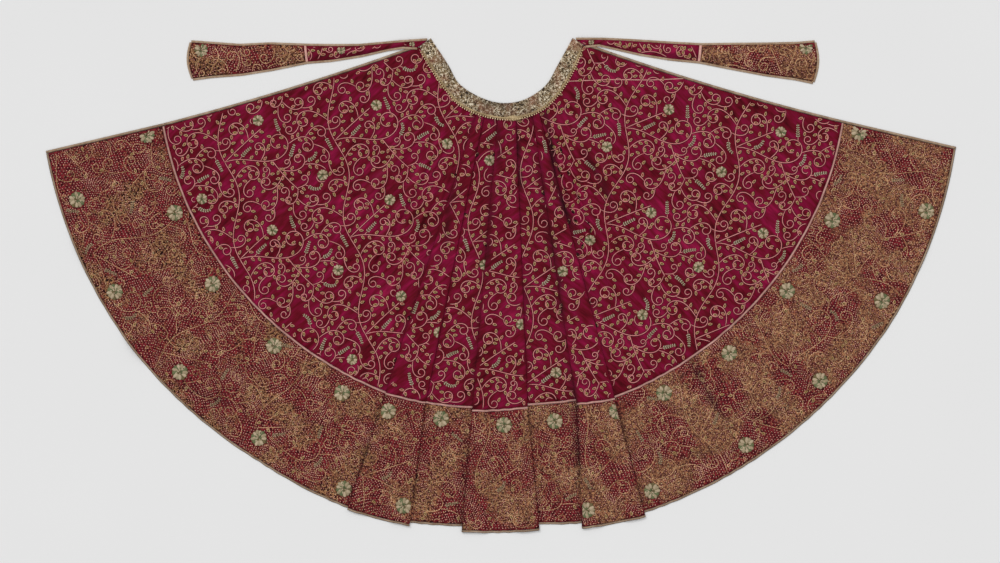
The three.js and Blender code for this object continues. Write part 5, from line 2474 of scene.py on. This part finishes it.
@dataclass(frozen=True)
class BodyWork:
    """The embroidery on the body: the vine, sage rosettes, and the cord of a piecing seam."""

    radius: float = 13.2
    turn: float = 37.0  # degrees from one rosette to the next
    width: float = 1.8
    piecing: tuple[tuple[float, float], ...] = ((152, 470), (250, 474), (345, 473), (435, 477))
    piecing_cord: tuple[float, float] = (2.2, 0.6)

    def build(self, cloth: MainCloth, vine: Vine) -> list[Piece]:
        """Works the body.

        Args:
            cloth: The cape's cloth.
            vine: One repeat of the vine.

        Returns:
            The pieces.
        """
        form, f, ground = cloth.form, cloth.finishes, cloth.body_ground
        work = Embroidery(ground, np.array(BODY_ROSETTES, float), self.radius + 1)
        for laying in BODY_LAYINGS:
            work.cover(vine, laying, range(-4, 5), range(-4, 4))
        colours = VineColours(self.width, True, f.vine, f.leaf_rim, f.spray)
        pieces = work.work("body", f, colours, form.shade)
        rows = [(x, y, self.radius, number * self.turn) for number, (x, y) in enumerate(BODY_ROSETTES)]
        pieces.append(BODY_ROSETTE.build("body_rosettes", ground, rows, f, form))
        seam = Stitches(ground, form.shade)
        ends = np.array(self.piecing, float)
        xs = np.linspace(ends[0, 0], ends[-1, 0], 60)
        seam.cord(np.column_stack([xs, np.interp(xs, ends[:, 0], ends[:, 1])]), *self.piecing_cord)
        pieces.append(seam.build("body_piecing_cord", [f.piping], Slot.PIPING))
        return pieces


@dataclass(frozen=True)
class BorderWork:
    """The embroidery on the border: knots all over, a faint gold vine, and large rosettes."""

    radius: float = 19.6
    turn: float = 29.0
    width: float = 1.5
    parts_from: tuple[float, ...] = (-1200, -330, 330, 1200)
    low: tuple[float, float] = (-1050, -580)
    high: tuple[float, float] = (1050, 400)
    long_stem: int = 17
    short_stems: int = 3  # of shorter stems, leaves and sprays one in so many is worked
    leaves: int = 4
    sprays: int = 2

    def build(self, cloth: MainCloth, vine: Vine) -> list[Piece]:
        """Works the border.

        Args:
            cloth: The cape's cloth.
            vine: One repeat of the vine.

        Returns:
            The pieces.
        """
        form, f, ground = cloth.form, cloth.finishes, cloth.border_ground
        work = Embroidery(ground, np.array(BORDER_ROSETTES, float), self.radius)
        for panel in range(len(PANELS)):
            work.cover(vine, RoundLaying(panel), range(0, 12), range(-1, 2))
        kept = [len(s) > self.long_stem or n % self.short_stems == 0 for n, s in enumerate(work.stems)]
        work.stems = [s for s, keep in zip(work.stems, kept) if keep]
        work.leaves = work.leaves[:: self.leaves]
        work.sprays = work.sprays[:: self.sprays]
        pieces = work.work("border", f, VineColours(self.width, False, f.gilt, f.gilt, f.petal), form.shade)
        knots = Knots()
        spots = knots.places(ground, self.low, self.high, work.free)
        for word, low, high in zip(("left", "middle", "right"), self.parts_from, self.parts_from[1:]):
            some = spots[(spots[:, 0] >= low) & (spots[:, 0] < high)]
            pieces.append(knots.build(f"border_knots_{word}", ground, some, f, form.shade))
        rows = [(x, y, self.radius, number * self.turn) for number, (x, y) in enumerate(BORDER_ROSETTES)]
        pieces.append(BORDER_ROSETTE.build("border_rosettes", ground, rows, f, form))
        return pieces


@dataclass(frozen=True)
class TieWork:
    """The embroidery on one tie: a small vine on its satin, and knots and rosettes on its end."""

    satin_rosettes: tuple[tuple[float, float, float, float], ...]  # x, y, radius and turn
    end_rosettes: tuple[tuple[float, float, float, float], ...]
    laid: tuple[float, float, float] = (300, -12, 80)  # the repeat's fork, how far below the apex, and turn
    satin_size: float = 0.72
    end_size: float = 0.8
    width: float = 1.8
    end_cord: tuple[float, float] = (2.0, 1.0)
    satin_clear: float = 11.0
    end_clear: float = 17.0
    ends: tuple[float, float] = (440, 740)
    sides: tuple[float, float] = (455, 575)

    def build(self, tie: Tie, vine: Vine) -> None:
        """Works the tie.

        Args:
            tie: The tie.
            vine: One repeat of the vine.
        """
        f, side, name = tie.finishes, tie.side, f"tie_{tie.word}"
        out, down, turn = self.laid
        laying = Laying(0, side * out, down, turn * side)
        satin = Embroidery(tie.satin_ground, np.array(self.satin_rosettes)[:, :2], self.satin_clear)
        satin.cover(vine, laying, range(-3, 4), range(-3, 4), self.satin_size)
        satin.sprays = []
        satin.work(name, f, VineColours(self.width, True, f.vine, f.leaf_rim, f.spray), None)
        border = Embroidery(tie.border_ground, np.array(self.end_rosettes)[:, :2], self.end_clear)
        border.cover(vine, laying, range(-4, 5), range(-4, 5), self.end_size)
        near, far = sorted(side * x for x in self.ends)
        knots = Knots()
        spots = knots.places(tie.border_ground, (near, self.sides[0]), (far, self.sides[1]), border.free)
        knots.build(f"{name}_knots", tie.border_ground, spots, f, None)
        gold = Stitches(tie.border_ground)
        for path in border.stems:
            gold.cord(path, *self.end_cord)
        gold.build(f"{name}_end_vine_cords", [f.gilt], Slot.GOLD)
        BORDER_ROSETTE.build(f"{name}_satin_rosettes", tie.satin_ground, self.satin_rosettes, f, None)
        BORDER_ROSETTE.build(f"{name}_end_rosettes", tie.border_ground, self.end_rosettes, f, None)


LEFT_TIE_WORK = TieWork(((-368, 542, 10.5, 20.0), (-205, 555, 7.0, 20.0)), ((-691, 542, 17.0, 20.0),))
RIGHT_TIE_WORK = TieWork(((208, 560, 7.0, 20.0),), ((703, 548, 17.0, 20.0),))


# ---- The studio ----------------------------------------------------------------------------------
@dataclass(frozen=True)
class Studio:
    """A pale floor, a soft key light and even fill, seen from straight above."""

    floor_half: float = 9.0
    floor_drop: float = 0.0003
    distance: float = 6.0
    view_width: float = 2.305
    sensor: float = 36.0
    far_clip: float = 60.0
    centre: tuple[float, float] = (-0.0023, 0.0087)
    key: float = 1.0
    key_angle: float = 25.0
    key_turn: tuple[float, float] = (-38.0, -32.0)
    fill: float = 0.7

    def build(self) -> None:
        """Makes the floor, the lights and the camera."""
        scene = bpy.context.scene
        bm = bmesh.new()
        bmesh.ops.create_grid(bm, x_segments=1, y_segments=1, size=self.floor_half)
        bmesh.ops.translate(bm, verts=bm.verts, vec=(0, 0, -self.floor_drop))
        mesh = bpy.data.meshes.new("floor")
        bm.to_mesh(mesh)
        bm.free()
        mesh.materials.append(Backdrop().material())
        floor = bpy.data.objects.new("floor", mesh)
        scene.collection.objects.link(floor)
        world = bpy.data.worlds.new("studio_fill")
        world.use_nodes = True
        sky = world.node_tree.nodes["Background"]
        sky.inputs["Color"].default_value = (1.0, 1.0, 1.0, 1.0)
        sky.inputs["Strength"].default_value = self.fill
        scene.world = world
        lamp = bpy.data.lights.new("studio_key", "SUN")
        lamp.energy = self.key
        lamp.angle = math.radians(self.key_angle)
        key = bpy.data.objects.new("studio_key", lamp)
        key.rotation_euler = (*map(math.radians, self.key_turn), 0)
        scene.collection.objects.link(key)
        lens = bpy.data.cameras.new("overhead_camera")
        lens.sensor_width = self.sensor
        lens.lens = self.distance * self.sensor / self.view_width
        lens.clip_end = self.far_clip
        camera = bpy.data.objects.new("overhead_camera", lens)
        camera.location = (*self.centre, self.distance)
        scene.collection.objects.link(camera)
        scene.camera = camera
        scene.view_settings.view_transform = "Standard"


def declare_cloth(
    neck: Neck, body: Sequence[Piece], border: Sequence[Piece]
) -> None:
    """Goes through the neck band's halves and the embroidery's pieces, and does nothing with them.

    Args:
        neck: The neck band.
        body: The body's embroidery.
        border: The border's embroidery.
    """
    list(body)
    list(border)
    for half in neck.halves:
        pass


def main() -> None:
    """Builds the cape on its frame and the studio round it."""
    logging.basicConfig(level=logging.INFO, format="%(name)s: %(message)s")
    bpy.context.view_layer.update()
    Studio().build()
    finishes = Finishes()
    cloth = MainCloth(CapeForm(), finishes)
    for side in (-1, 1):
        FrontTape(side).build(finishes)
    neck = Neck(finishes)
    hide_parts("neck_picot_edging")
    ties = [
        Tie("left", LEFT_TIE, "leftFront", -1, finishes),
        Tie("right", RIGHT_TIE, "rightFront", 1, finishes),
    ]
    vine = Vine().grown()
    body = BodyWork().build(cloth, vine)
    border = BorderWork().build(cloth, vine)
    for tie, work in zip(ties, (LEFT_TIE_WORK, RIGHT_TIE_WORK)):
        work.build(tie, vine)
    declare_cloth(neck, body, border)


if __name__ == "__main__":
    main()
